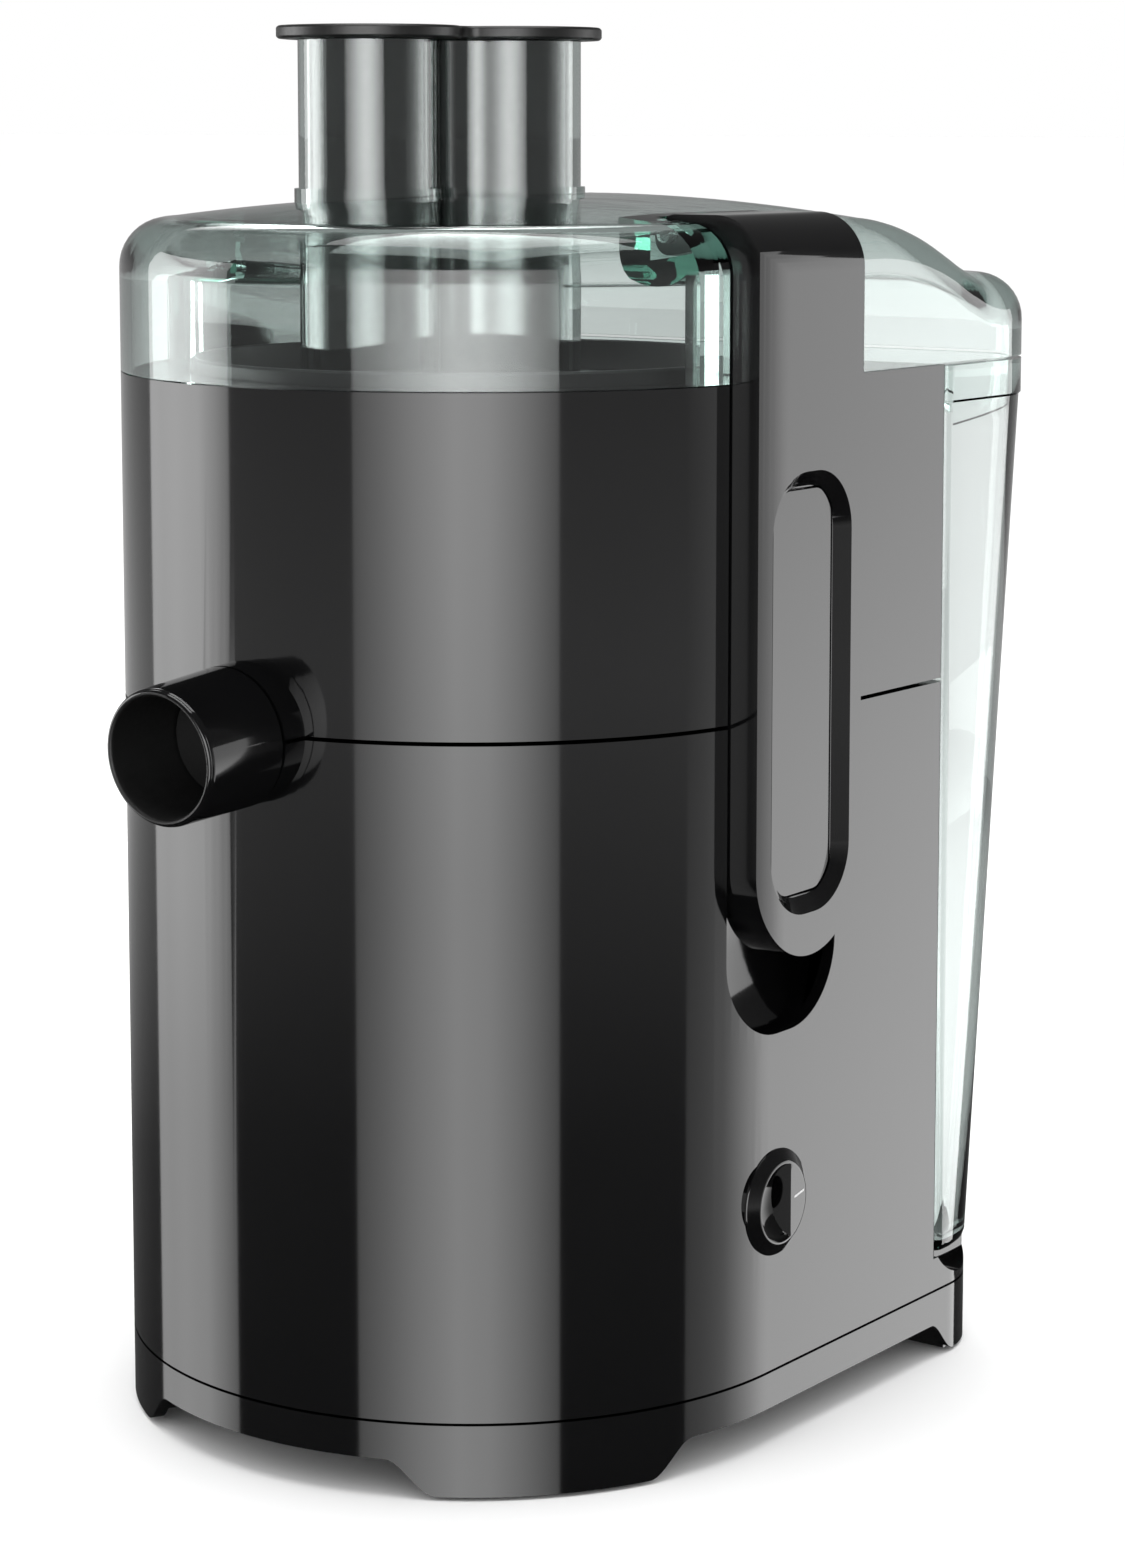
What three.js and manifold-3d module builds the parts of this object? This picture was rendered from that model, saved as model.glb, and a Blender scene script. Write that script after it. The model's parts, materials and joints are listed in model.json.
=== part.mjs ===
// A centrifugal juicer: motor base, juice bowl with its nozzle, spinning strainer basket,
// clear lid with a feed chute and pusher, two locking arms, and a pulp container at the back.
// Millimetres, +Z up, nozzle towards -Y, pulp container towards +Y.
// The origin is the centre of the floor footprint; everything is laid out from the motor axis.

import * as THREE from 'three';
import { mergeVertices } from 'three/addons/utils/BufferGeometryUtils.js';
import Module from 'manifold-3d';

const wasm = await Module();
wasm.setup();

// ---------- driving dimensions ----------
const BODY_R = 80;              // half-round nose, and half the width across the flat sides
const BODY_BACK = 72.7;         // back wall of the motor housing and the bowl
const BASE_BACK = 103;          // back edge of the shelf under the pulp container
const LID_BACK = 124.6;         // back edge of the lid and of the container's rim
const NOZZLE_REACH = 108.4;     // how far the nozzle's lip stands out from the motor axis
const AXIS_Y = (NOZZLE_REACH - LID_BACK) / 2;
const GAP = 0.3;                // clearance between neighbouring pieces
const WALL = 2.4;               // moulded walls of the bowl, the lid and the container
const BASE_WALL = 3;

const FOOT_TOP = 0.9;           // how far the rubber pads stand below the legs
const SKIRT_Z = 8.6;            // lower edge of the bottom cover between the legs
const BOTTOM_SEAM = 16.6;       // bottom cover meets the motor housing
const SHELF_Z = 24.8;           // top of the shelf that the container stands on
const DECK_Z = 146.5;           // top of the motor compartment
const BOWL_SEAM = 163;          // bowl meets the motor housing
const LID_SEAM = 236;           // lid meets the bowl
const LID_SHOULDER = 270;       // top of the lid's outer shoulder
const LID_CROWN = 274.6;        // crown of the lid
const REAR_LID_Z = 255.6;       // top of the lid over the container
const LID_SLOPE = { start: 40, end: 94, curve: 2.3 };   // the lid bends down to its rear part
const LID_SHOULDER_R = 11;
const CHUTE_TOP = 310.7;
const PUSHER_TOP = 315;

const ARM_MID_Y = 6;            // locking arms, on both flat sides
const ARM_WIDTH = 40;
const ARM_FACE = 86.6;          // outer face, measured from the middle of the juicer
const ARM_BACK = 76.4;
const ARM_BOTTOM = 111;
const ARM_TOP = 271.6;
const ARM_UNDER = 263.9;
const PIN_Z = (ARM_TOP + ARM_UNDER) / 2;
const PIN_X = 64.1;
const PIN_R = 1.5;
const CHANNEL_X = ARM_BACK - 0.4;       // floor of the channel that the arm lies in
const CHANNEL_TOP = ARM_UNDER - 0.4;
const CHANNEL_SIDE = ARM_WIDTH / 2 + 0.6;
const SCOOP = { x: 14, y: 34, z: 25, rise: 7, bottom: 93 };    // finger hollow: radii and place

const CHUTE_ARC = { radius: 24, from: 108, to: 218 };   // the chute's curved centre line, degrees
const CHUTE_HALF = 16;
const PUSHER_HALF = 13.4;
const FLANGE_HALF = 22.2;

const NOZZLE_TILT = 4;          // degrees below the horizontal
const FRONT_LEG = { from: 301, to: 335, depth: 20, padR: 70 };     // arc of the nose, degrees
const KNOB = { y: -3, z: 57.4, face: 86.1, rim: 11.8, neck: 7.8 };

// ---------- materials ----------
const finish = (color, roughness, metalness = 0) => ({ color, roughness, metalness });
const BLACK_GLOSS = finish(0x121214, 0.12);
const BLACK_SATIN = finish(0x1a1a1c, 0.45);
const CLEAR_GREEN = finish(0xbfe3d6, 0.05);
const SMOKE_GREY = finish(0x3a3d3d, 0.15);
const STEEL = finish(0xb8bcc0, 0.3, 1);
const RUBBER = finish(0x202020, 0.9);
const COPPER = finish(0xb06a3a, 0.35, 1);
const LAMINATION = finish(0x6d7074, 0.5, 1);
const CARBON = finish(0x2b2b2d, 0.7);
const NYLON = finish(0x3c3f42, 0.5);

// ---------- solids ----------
const radians = THREE.MathUtils.degToRad;

/** Turns a three.js geometry into a closed manifold solid facing outwards. */
function solid(geometry) {
  const bare = geometry.clone();
  for (const name of Object.keys(bare.attributes)) {
    if (name !== 'position') bare.deleteAttribute(name);
  }
  const merged = mergeVertices(bare, 1e-4);
  const place = merged.attributes.position;
  const corner = [0, 1, 2].map(() => new THREE.Vector3());
  const faces = [];
  let volume = 0;
  for (let i = 0; i < merged.index.count; i += 3) {
    const ids = [0, 1, 2].map((k) => merged.index.getX(i + k));
    if (new Set(ids).size < 3) continue;
    faces.push(ids);
    ids.forEach((id, k) => corner[k].fromBufferAttribute(place, id));
    volume += corner[0].dot(corner[1].clone().cross(corner[2]));
  }
  if (volume < 0) faces.forEach((ids) => ids.reverse());
  return new wasm.Manifold(new wasm.Mesh({
    numProp: 3,
    vertProperties: new Float32Array(place.array),
    triVerts: new Uint32Array(faces.flat()),
  }));
}

const join = (...pieces) => pieces.reduce((a, b) => a.add(b));
const cut = (body, ...tools) => tools.reduce((a, b) => a.subtract(b), body);

/** Points on an arc; degrees, anticlockwise from +X. */
function arc(x, y, radius, from, to, steps) {
  return Array.from({ length: steps + 1 }, (_, i) => {
    const angle = radians(from + (to - from) * i / steps);
    return new THREE.Vector2(x + radius * Math.cos(angle), y + radius * Math.sin(angle));
  });
}

/** Upright prism over an outline. */
function prism(outline, low, high) {
  const options = { depth: high - low, bevelEnabled: false };
  return solid(new THREE.ExtrudeGeometry(new THREE.Shape(outline), options).translate(0, 0, low));
}

/** Prism along X over an outline in Y and Z. */
function sidePrism(outline, low, high) {
  const options = { depth: high - low, bevelEnabled: false };
  const geometry = new THREE.ExtrudeGeometry(new THREE.Shape(outline), options);
  geometry.translate(0, 0, low).rotateX(Math.PI / 2).rotateZ(Math.PI / 2);
  return solid(geometry);
}

/** Prism along Y over an outline in X and Z. */
function crossPrism(outline, low, high) {
  const options = { depth: high - low, bevelEnabled: false };
  const geometry = new THREE.ExtrudeGeometry(new THREE.Shape(outline), options);
  return solid(geometry.translate(0, 0, -high).rotateX(Math.PI / 2));
}

/** Solid of revolution about Z from a closed list of [radius, height] points. */
function turned(profile, steps = 24) {
  const points = profile.map(([r, z]) => new THREE.Vector2(r, z));
  const closesOnAxis = points[0].x === 0 && points.at(-1).x === 0;
  if (!closesOnAxis) points.push(points[0].clone());
  return solid(new THREE.LatheGeometry(points, steps).rotateX(Math.PI / 2));
}

const disc = (radius, low, high, steps = 24) =>
  turned([[0, low], [radius, low], [radius, high], [0, high]], steps);
const ring = (inner, outer, low, high, steps = 24) =>
  turned([[inner, low], [outer, low], [outer, high], [inner, high]], steps);

function box(lowX, highX, lowY, highY, lowZ, highZ) {
  const geometry = new THREE.BoxGeometry(highX - lowX, highY - lowY, highZ - lowZ);
  geometry.translate((lowX + highX) / 2, (lowY + highY) / 2, (lowZ + highZ) / 2);
  return solid(geometry);
}

/** Smooth solid through a stack of outlines with equal point counts: [{ outline, z }]. */
function loft(stack) {
  const count = stack[0].outline.length;
  const positions = stack.flatMap(({ outline, z }) => outline.flatMap((p) => [p.x, p.y, z]));
  const index = [];
  for (let level = 0; level < stack.length - 1; level += 1) {
    for (let i = 0; i < count; i += 1) {
      const a = level * count + i;
      const b = level * count + (i + 1) % count;
      index.push(a, b, b + count, a, b + count, a + count);
    }
  }
  const last = (stack.length - 1) * count;
  for (const [a, b, c] of THREE.ShapeUtils.triangulateShape(stack[0].outline, [])) {
    index.push(a, c, b);
  }
  for (const [a, b, c] of THREE.ShapeUtils.triangulateShape(stack.at(-1).outline, [])) {
    index.push(last + a, last + b, last + c);
  }
  const geometry = new THREE.BufferGeometry();
  geometry.setAttribute('position', new THREE.Float32BufferAttribute(positions, 3));
  geometry.setIndex(index);
  return solid(geometry);
}

const mirrored = (piece) => piece.mirror([1, 0, 0]);
const bothSides = (piece) => join(piece, mirrored(piece));

// ---------- outlines ----------
/** Plan of the juicer: half-round nose, flat sides, rounded back corners. */
function bodyPlan(inset, back, corner) {
  const half = BODY_R - inset;
  const rear = back - inset;
  const r = Math.max(corner - inset, 0.8);
  return [
    ...arc(0, 0, half, 180, 360, 24),
    ...arc(half - r, rear - r, r, 0, 90, 4),
    ...arc(r - half, rear - r, r, 90, 180, 4),
  ];
}

/** Plan of the container: square front corners, rounded back corners. */
function containerPlan(inset, back) {
  const half = BODY_R - inset;
  const front = 73.6 + inset;
  const r = 24 - inset;
  return [
    ...arc(-half + 2, front + 2, 2, 180, 270, 2),
    ...arc(half - 2, front + 2, 2, 270, 360, 2),
    ...arc(half - r, back - inset - r, r, 0, 90, 5),
    ...arc(r - half, back - inset - r, r, 90, 180, 5),
  ];
}

/** Kidney outline that follows the chute's curved centre line. */
function kidney(halfWidth, steps = 9) {
  const { radius, from, to } = CHUTE_ARC;
  const end = (angle) => [radius * Math.cos(radians(angle)), radius * Math.sin(radians(angle))];
  return [
    ...arc(0, 0, radius + halfWidth, from, to, steps),
    ...arc(...end(to), halfWidth, to, to + 180, steps).slice(1, -1),
    ...arc(0, 0, radius - halfWidth, to, from, steps),
    ...arc(...end(from), halfWidth, from + 180, from + 360, steps).slice(1, -1),
  ];
}

/** Upright slot with round ends, in Y and Z. */
function pill(halfWidth, low, high) {
  return [
    ...arc(ARM_MID_Y, high - halfWidth, halfWidth, 0, 180, 10),
    ...arc(ARM_MID_Y, low + halfWidth, halfWidth, 180, 360, 10),
  ];
}

// ---------- shapes shared by the body shells ----------
/** What the arm's channel takes out of a flat side and the lid's shoulder. */
function channelTool() {
  const [inner, outer] = [CHANNEL_X, ARM_FACE + 10];
  const profile = [
    new THREE.Vector2(outer, ARM_BOTTOM - 20),
    new THREE.Vector2(outer, LID_CROWN + 10),
    new THREE.Vector2(PIN_X - 4.6, LID_CROWN + 10),
    new THREE.Vector2(PIN_X - 4.6, CHANNEL_TOP),
    ...arc(inner - 6, CHANNEL_TOP - 6, 6, 90, 0, 4),
    new THREE.Vector2(inner, ARM_BOTTOM - 20),
  ];
  const strip = crossPrism(profile, ARM_MID_Y - CHANNEL_SIDE, ARM_MID_Y + CHANNEL_SIDE);
  const foot = ARM_BOTTOM + ARM_WIDTH / 2;
  const outline = [
    new THREE.Vector2(ARM_MID_Y + CHANNEL_SIDE, LID_CROWN + 20),
    new THREE.Vector2(ARM_MID_Y - CHANNEL_SIDE, LID_CROWN + 20),
    ...arc(ARM_MID_Y, foot, CHANNEL_SIDE, 180, 360, 14),
  ];
  return strip.intersect(sidePrism(outline, 50, ARM_FACE + 12));
}

/** Hollow in the flat side that lets a finger get under the arm's lower end. */
function fingerScoop() {
  const { x, y, z, rise, bottom } = SCOOP;
  const hollow = solid(new THREE.SphereGeometry(1, 16, 12).scale(x, y, z)
    .translate(BODY_R, ARM_MID_Y, ARM_BOTTOM + rise));
  return hollow.intersect(sidePrism(pill(CHANNEL_SIDE, bottom, ARM_TOP), 50, BODY_R + x));
}

/** Block that thickens a flat side behind the channel. */
function channelBacking(low, high, depth = BODY_R - CHANNEL_X + BASE_WALL) {
  const block = box(BODY_R - depth, BODY_R + 1, ARM_MID_Y - 24, ARM_MID_Y + 24, low, high);
  return block.intersect(prism(bodyPlan(0, BODY_BACK, 1.5), low, high));
}

/** Places a piece turned about Z along the nozzle: its height becomes the reach from the root. */
function alongNozzle(piece) {
  return piece.rotate([90 + NOZZLE_TILT, 0, 0]).translate([0, -BODY_R, BOWL_SEAM]);
}
const NOZZLE_BORE = 9.4;        // juice way through the bowl's own tube
const NOZZLE_TUBE = 11.5;       // outside of that tube
const NOZZLE_SOCKET = 13.4;     // bore of the collar around the nozzle
const NOZZLE_R = 15.2;          // outside of the nozzle at its root
const NOZZLE_ROOT = 5.2;        // nozzle shoulder, measured along it from the nose

// ---------- motor base ----------
function baseHousing() {
  const shell = join(
    cut(
      prism(bodyPlan(0, BODY_BACK, 1.5), BOTTOM_SEAM + GAP, BOWL_SEAM - GAP / 2),
      prism(bodyPlan(BASE_WALL, BODY_BACK, 1.5), 0, DECK_Z - 3.5),
      prism(bodyPlan(BASE_WALL, BODY_BACK, 1.5), DECK_Z, BOWL_SEAM + 1),
    ),
    ring(7.6, 11, DECK_Z - 3.5, 176, 24),
  );
  const backing = bothSides(join(
    channelBacking(88, DECK_Z, 18),
    channelBacking(DECK_Z - 1, BOWL_SEAM - GAP / 2),
  ));
  const collar = alongNozzle(disc(NOZZLE_R, -6, NOZZLE_ROOT - 0.4, 20));
  const lowerHalf = box(-20, 20, -90, -60, 100, BOWL_SEAM - GAP / 2);
  const bosses = screwPlaces().map(([x, y]) => disc(4.6, BOTTOM_SEAM + GAP, 40, 8).translate([x, y, 0]));
  const body = join(shell, backing, collar.intersect(lowerHalf), shelf(), ...bosses);
  return cut(
    body,
    bothSides(channelTool()),
    bothSides(fingerScoop()),
    disc(7.6, DECK_Z - 5, 180, 24),
    alongNozzle(disc(NOZZLE_SOCKET, -45, 20, 20)),
    box(-NOZZLE_SOCKET, NOZZLE_SOCKET, -95, -40, BOWL_SEAM - 1, 190),
    knobHole(),
    glandHole(),
    ...screwPlaces().map(([x, y]) => disc(2.1, 10, 32, 8).translate([x, y, 0])),
    ...[-45, -15, 15, 45].map((x) => backVent(x)),
  );
}

/** Shelf behind the motor housing, with a thumb hollow in each side under the container. */
function shelf() {
  const plan = bodyPlan(0, BASE_BACK, 24);
  const behind = box(-90, 90, BODY_BACK - 2, BASE_BACK + 5, 0, 60);
  const block = prism(plan, BOTTOM_SEAM + GAP, SHELF_Z).intersect(behind);
  const pocket = box(-58, 58, BODY_BACK + 2, BASE_BACK - 6, 0, SHELF_Z - 3);
  const thumb = disc(16, 74, 90, 24).rotate([0, 90, 0]).translate([0, 86, SHELF_Z + 10]);
  return cut(block, pocket, bothSides(thumb));
}

const backVent = (x) => box(x - 9, x + 9, BODY_BACK - 5, BODY_BACK + 1, 120, 124);

const screwPlaces = () => [[-71.4, -12.8], [71.4, -12.8], [-72.8, 58], [72.8, 58]];

/** Bottom cover: a tray with a skirt, four legs, motor vents and screw holes. */
function bottomCover() {
  const plan = (inset) => bodyPlan(inset, BASE_BACK, 24);
  const tray = cut(
    prism(plan(0), SKIRT_Z, BOTTOM_SEAM),
    prism(plan(BASE_WALL), SKIRT_Z + 2.6, BOTTOM_SEAM + 1),
  );
  const bosses = screwPlaces().map(([x, y]) => disc(5.5, SKIRT_Z + 1, BOTTOM_SEAM, 8).translate([x, y, 0]));
  const holes = screwPlaces().flatMap(([x, y]) => [
    disc(2.1, 0, 30, 8).translate([x, y, 0]),
    disc(3.8, 0, SKIRT_Z + 2, 10).translate([x, y, 0]),
  ]);
  const vents = [-16, -8, 0, 8, 16].map((y) => box(-22, 22, y - 1.8, y + 1.8, 5, 14));
  return cut(join(tray, ...legs(), ...bosses), ...holes, ...vents, ...footPlaces().map(padPocket));
}

/** Front legs follow the nose; back legs fill the rounded back corners. */
function legs() {
  const front = prism([
    ...arc(0, 0, BODY_R, FRONT_LEG.from, FRONT_LEG.to, 5),
    ...arc(0, 0, BODY_R - FRONT_LEG.depth, FRONT_LEG.to, FRONT_LEG.from, 5),
  ], FOOT_TOP, SKIRT_Z + 1);
  const corner = prism(bodyPlan(0, BASE_BACK, 24), FOOT_TOP, SKIRT_Z + 1);
  const back = corner.intersect(box(54, 90, BASE_BACK - 26, 120, 0, 20));
  return [front, mirrored(front), back, mirrored(back)];
}

const footPlaces = () => {
  const angle = radians((FRONT_LEG.from + FRONT_LEG.to) / 2);
  const [x, y] = [FRONT_LEG.padR * Math.cos(angle), FRONT_LEG.padR * Math.sin(angle)];
  return [[x, y], [-x, y], [66, BASE_BACK - 14], [-66, BASE_BACK - 14]];
};
const PAD_R = 6.5;
const padPocket = ([x, y]) => disc(PAD_R + GAP, 0, FOOT_TOP + 2.4, 14).translate([x, y, 0]);
const footPad = ([x, y]) => disc(PAD_R, 0, FOOT_TOP + 2.1, 14).translate([x, y, 0]);

/** Pan-head screw with its head up inside the bottom cover's counterbore. */
function baseScrew([x, y]) {
  const seat = SKIRT_Z + 2 - GAP;
  return turned([[0, seat - 2], [3.3, seat - 2], [3.3, seat], [1.7, seat], [1.7, 30], [0, 31.5]], 8)
    .translate([x, y, 0]);
}

// ---------- motor ----------
const CORE_LOW = 72;
const CORE_HIGH = 112;
const POST = 33;                // bracket posts stand at this distance in X and in Y
const corners = [[-POST, -POST], [POST, -POST], [POST, POST], [-POST, POST]];

function statorCore() {
  const outline = corners.flatMap(([x, y], i) => arc(Math.sign(x) * 30, Math.sign(y) * 30, 12,
    180 + 90 * i, 270 + 90 * i, 4));
  const slots = [-1, 1].flatMap((sx) => [-1, 1].map((sy) => {
    const [x0, x1] = [14.7 * sx, 22.3 * sx].sort((a, b) => a - b);
    const [y0, y1] = [19.7 * sy, 28.3 * sy].sort((a, b) => a - b);
    return box(x0, x1, y0, y1, 60, 120);
  }));
  return cut(prism(outline, CORE_LOW, CORE_HIGH), disc(18.6, 60, 120), ...slots);
}

/** Field coil wound around one pole of the stator core. */
function fieldCoil(side) {
  const loop = (half, low, high, r) => [
    ...arc(half - r, high - r, r, 0, 90, 3), ...arc(r - half, high - r, r, 90, 180, 3),
    ...arc(r - half, low + r, r, 180, 270, 3), ...arc(half - r, low + r, r, 270, 360, 3),
  ];
  const [low, high] = side > 0 ? [20, 28] : [-28, -20];
  const outer = crossPrism(loop(22, CORE_LOW - 8, CORE_HIGH + 8, 4), low, high);
  return cut(outer, crossPrism(loop(15, CORE_LOW - 1, CORE_HIGH + 1, 0.9), low - 1, high + 1));
}

/** Square bracket with four posts that reach the stator core. */
function motorBracket(plateLow, plateHigh, postEnd, bearingR) {
  const [low, high] = [Math.min(plateLow, postEnd), Math.max(plateHigh, postEnd)];
  const posts = corners.map(([x, y]) => disc(4, low, high, 8).translate([x, y, 0]));
  const plate = box(-40, 40, -40, 40, plateLow, plateHigh);
  const windows = corners.map(([x, y]) => disc(8, plateLow - 1, plateHigh + 1, 8)
    .translate([x * 0.55, y * 0.55, 0]));
  return cut(join(cut(plate, ...windows), ...posts), disc(bearingR, plateLow - 1, plateHigh + 1, 20));
}

function brushHolder(side) {
  const tube = cut(box(11.6, 36, -4.5, 4.5, 56, 65), box(10, 34, -3.2, 3.2, 57.5, 63.5));
  const foot = box(28, 36, -4.5, 4.5, 48.4, 57);
  const holder = join(tube, foot);
  return side > 0 ? holder : mirrored(holder);
}

function carbonBrush(side) {
  const brush = box(10.5, 24, -2.9, 2.9, 57.8, 63.2);
  return side > 0 ? brush : mirrored(brush);
}

const motorShaft = () => disc(4, 40, 188, 16);

function armatureCore() {
  const body = ring(4.3, 17.8, 74, 110, 20);
  const slots = Array.from({ length: 10 }, (_, i) => box(15.2, 20, -1.4, 1.4, 70, 115)
    .rotate([0, 0, 36 * i + 18]));
  return cut(body, ...slots);
}

function coolingFan() {
  const hub = ring(4.3, 9, 123, 133, 16);
  const plate = ring(8.5, 34, 123, 124.6, 24);
  const blades = Array.from({ length: 8 }, (_, i) => box(12, 32, -0.8, 0.8, 124, 132)
    .rotate([0, 0, 45 * i]));
  return join(hub, plate, ...blades);
}

/** Toothed drive coupling on top of the shaft. */
function driveCoupling() {
  const teeth = Array.from({ length: 6 }, (_, i) => box(5, 9.4, -1.8, 1.8, 178, 194)
    .rotate([0, 0, 60 * i]));
  return cut(join(disc(7.6, 178, 194, 18), ...teeth), disc(4.3, 170, 189, 16));
}

// ---------- controls and fittings in the base ----------
const towardsSide = (piece, y, z) => piece.rotate([0, 90, 0]).translate([0, y, z]);
const knobHole = () => towardsSide(disc(3.6, 60, 90, 16), KNOB.y, KNOB.z);

/** Flared speed knob; half of its dished face is raised as the grip. */
function speedKnob() {
  const { face, rim, neck } = KNOB;
  const wall = BODY_R + GAP;
  const flare = turned([
    [0, 69], [3, 69], [3, wall], [neck, wall], [neck + 0.6, wall + 2], [neck + 2, wall + 4],
    [rim, face - 0.6], [rim - 0.4, face], [0, face],
  ], 24);
  const dish = disc(9, face - 5, face + 1, 20).intersect(box(-12, 12, -12, 3.8, 70, 95));
  return towardsSide(cut(flare, dish), KNOB.y, KNOB.z);
}

function speedSwitch() {
  const body = box(54, 75, KNOB.y - 10, KNOB.y + 10, KNOB.z - 13, KNOB.z + 13);
  return cut(body, towardsSide(disc(3.5, 66, 80, 16), KNOB.y, KNOB.z));
}

const interlockSwitch = () => box(50, 62, 40, 60, DECK_Z - 14, DECK_Z - 3.9);

const GLAND = { y: 34, z: 30 };
const glandHole = () => towardsSide(disc(5.6, -90, -70, 14), GLAND.y, GLAND.z);

/** Grommet in the hidden side wall where the mains lead would enter. */
function cordGland() {
  const outside = -BODY_R - 2;
  const profile = [
    [3.2, outside], [7, outside], [7, -BODY_R - GAP], [5, -BODY_R - GAP], [5, BASE_WALL - BODY_R + GAP],
    [6.6, BASE_WALL - BODY_R + GAP], [6.6, BASE_WALL - BODY_R + 2], [3.2, BASE_WALL - BODY_R + 2],
  ];
  return towardsSide(turned(profile, 14), GLAND.y, GLAND.z);
}

// ---------- juice bowl ----------
function juiceBowl() {
  const top = LID_SEAM - GAP / 2;
  const low = BOWL_SEAM + GAP / 2;
  const floor = 171;
  const plan = (inset) => bodyPlan(inset, BODY_BACK, 1.5);
  const shell = cut(prism(plan(0), low, top), prism(plan(WALL), low - 1, top - WALL));
  const backing = bothSides(channelBacking(low, top, BODY_R - CHANNEL_X + WALL));
  const basin = disc(68.4, floor - WALL, top, 36);
  const collar = alongNozzle(disc(NOZZLE_R, -6, NOZZLE_ROOT - 0.4, 20));
  const upperHalf = box(-20, 20, -90, -60, low, 200);
  const hollow = disc(66, floor, top + 1, 36);
  const chimney = ring(13, 15.4, floor - WALL, 186, 20);
  const tube = alongNozzle(disc(NOZZLE_TUBE, -30, 9, 16));
  const socket = cut(alongNozzle(disc(NOZZLE_SOCKET, 0, 20, 20)), box(-30, 30, -75, 0, 100, 200));
  const body = cut(join(shell, backing, basin, collar.intersect(upperHalf)), hollow, socket);
  return cut(
    join(body, tube, chimney),
    bothSides(channelTool()),
    disc(13, floor - 5, 190, 20),
    alongNozzle(disc(NOZZLE_BORE, -27, 20, 16)),
    box(-NOZZLE_BORE + 1, NOZZLE_BORE - 1, -62, -52, floor - 2, floor + 8),
  );
}

/** Nozzle pushed over the bowl's tube, with a thin flared lip. */
function juiceNozzle() {
  const tilt = radians(NOZZLE_TILT);
  const lip = 14.2;
  const reach = (NOZZLE_REACH - BODY_R - lip * Math.sin(tilt)) / Math.cos(tilt);
  const profile = [
    [11.9, 0.6], [12.9, 0.6], [12.9, NOZZLE_ROOT], [NOZZLE_R, NOZZLE_ROOT], [14.75, reach - 0.8],
    [lip, reach], [13.3, reach], [13, reach - 9], [11.9, reach - 12],
  ];
  return alongNozzle(turned(profile, 24));
}

// ---------- strainer basket ----------
const GRATER_Z = 197;
const BASKET_TOP = 239;

const strainerMesh = () => turned([
  [46.2, GRATER_Z], [47.4, GRATER_Z], [62, BASKET_TOP - 7.3], [60.8, BASKET_TOP - 7.3],
], 32);

const strainerRim = () => turned([
  [60.6, BASKET_TOP - 7], [64.4, BASKET_TOP - 7], [64.4, BASKET_TOP],
  [63, BASKET_TOP], [62.2, BASKET_TOP - 4],
], 32);

/** Cutting disc with rings of small raised teeth. */
function graterDisc() {
  const plate = ring(5.4, 45.8, GRATER_Z, GRATER_Z + 1.6, 32);
  const teeth = [14, 24, 34].flatMap((radius, row) => {
    const count = 6 + 4 * row;
    return Array.from({ length: count }, (_, i) => {
      const cone = new THREE.ConeGeometry(1.1, 1.8, 4).rotateX(Math.PI / 2);
      return solid(cone.translate(radius, 0, GRATER_Z + 2.4)).rotate([0, 0, 360 * (i + row / 4) / count]);
    });
  });
  return join(plate, ...teeth);
}

const basketHub = () => turned([
  [0, 194.7], [10, 194.7], [10, 187], [14.4, 187], [14.4, GRATER_Z - GAP], [5, GRATER_Z - GAP],
  [5, 201], [4, 202.4], [0, 202.4],
], 20);

// ---------- lid, chute, pusher ----------
/** Solid over the lid's plan with a rounded shoulder and a slightly raised crown. */
function dome(inset, low, topZ, crownZ) {
  const plan = (depth) => bodyPlan(inset + depth, LID_BACK, 24);
  const shoulder = [0, 30, 60, 90].map(radians).map((turn) => ({
    outline: plan(LID_SHOULDER_R * (1 - Math.cos(turn))),
    z: topZ - inset - LID_SHOULDER_R * (1 - Math.sin(turn)),
  }));
  return loft([{ outline: plan(0), z: low }, ...shoulder, { outline: plan(36), z: crownZ - inset }]);
}

/** Everything below the lid's top as it bends down towards the rear, seen from the side. */
function underSlope(inset) {
  const { start, end, curve } = LID_SLOPE;
  const slope = Array.from({ length: 9 }, (_, i) => {
    const drop = (LID_SHOULDER - REAR_LID_Z) * (i / 8) ** curve;
    return new THREE.Vector2(start + (end - start) * i / 8 - inset / 2, LID_SHOULDER - drop - inset);
  });
  const front = [
    new THREE.Vector2(end, 100), new THREE.Vector2(-100, 100),
    new THREE.Vector2(-100, LID_CROWN + 5), new THREE.Vector2(10, LID_CROWN + 5),
  ];
  return sidePrism([...front, ...slope], -100, 100);
}

/** Outer form of the lid, or of its cavity when inset by the wall. */
function lidForm(inset, low) {
  const front = dome(inset, low, LID_SHOULDER, LID_CROWN).intersect(underSlope(inset));
  return join(front, dome(inset, low, REAR_LID_Z, REAR_LID_Z + 0.4));
}

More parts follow.
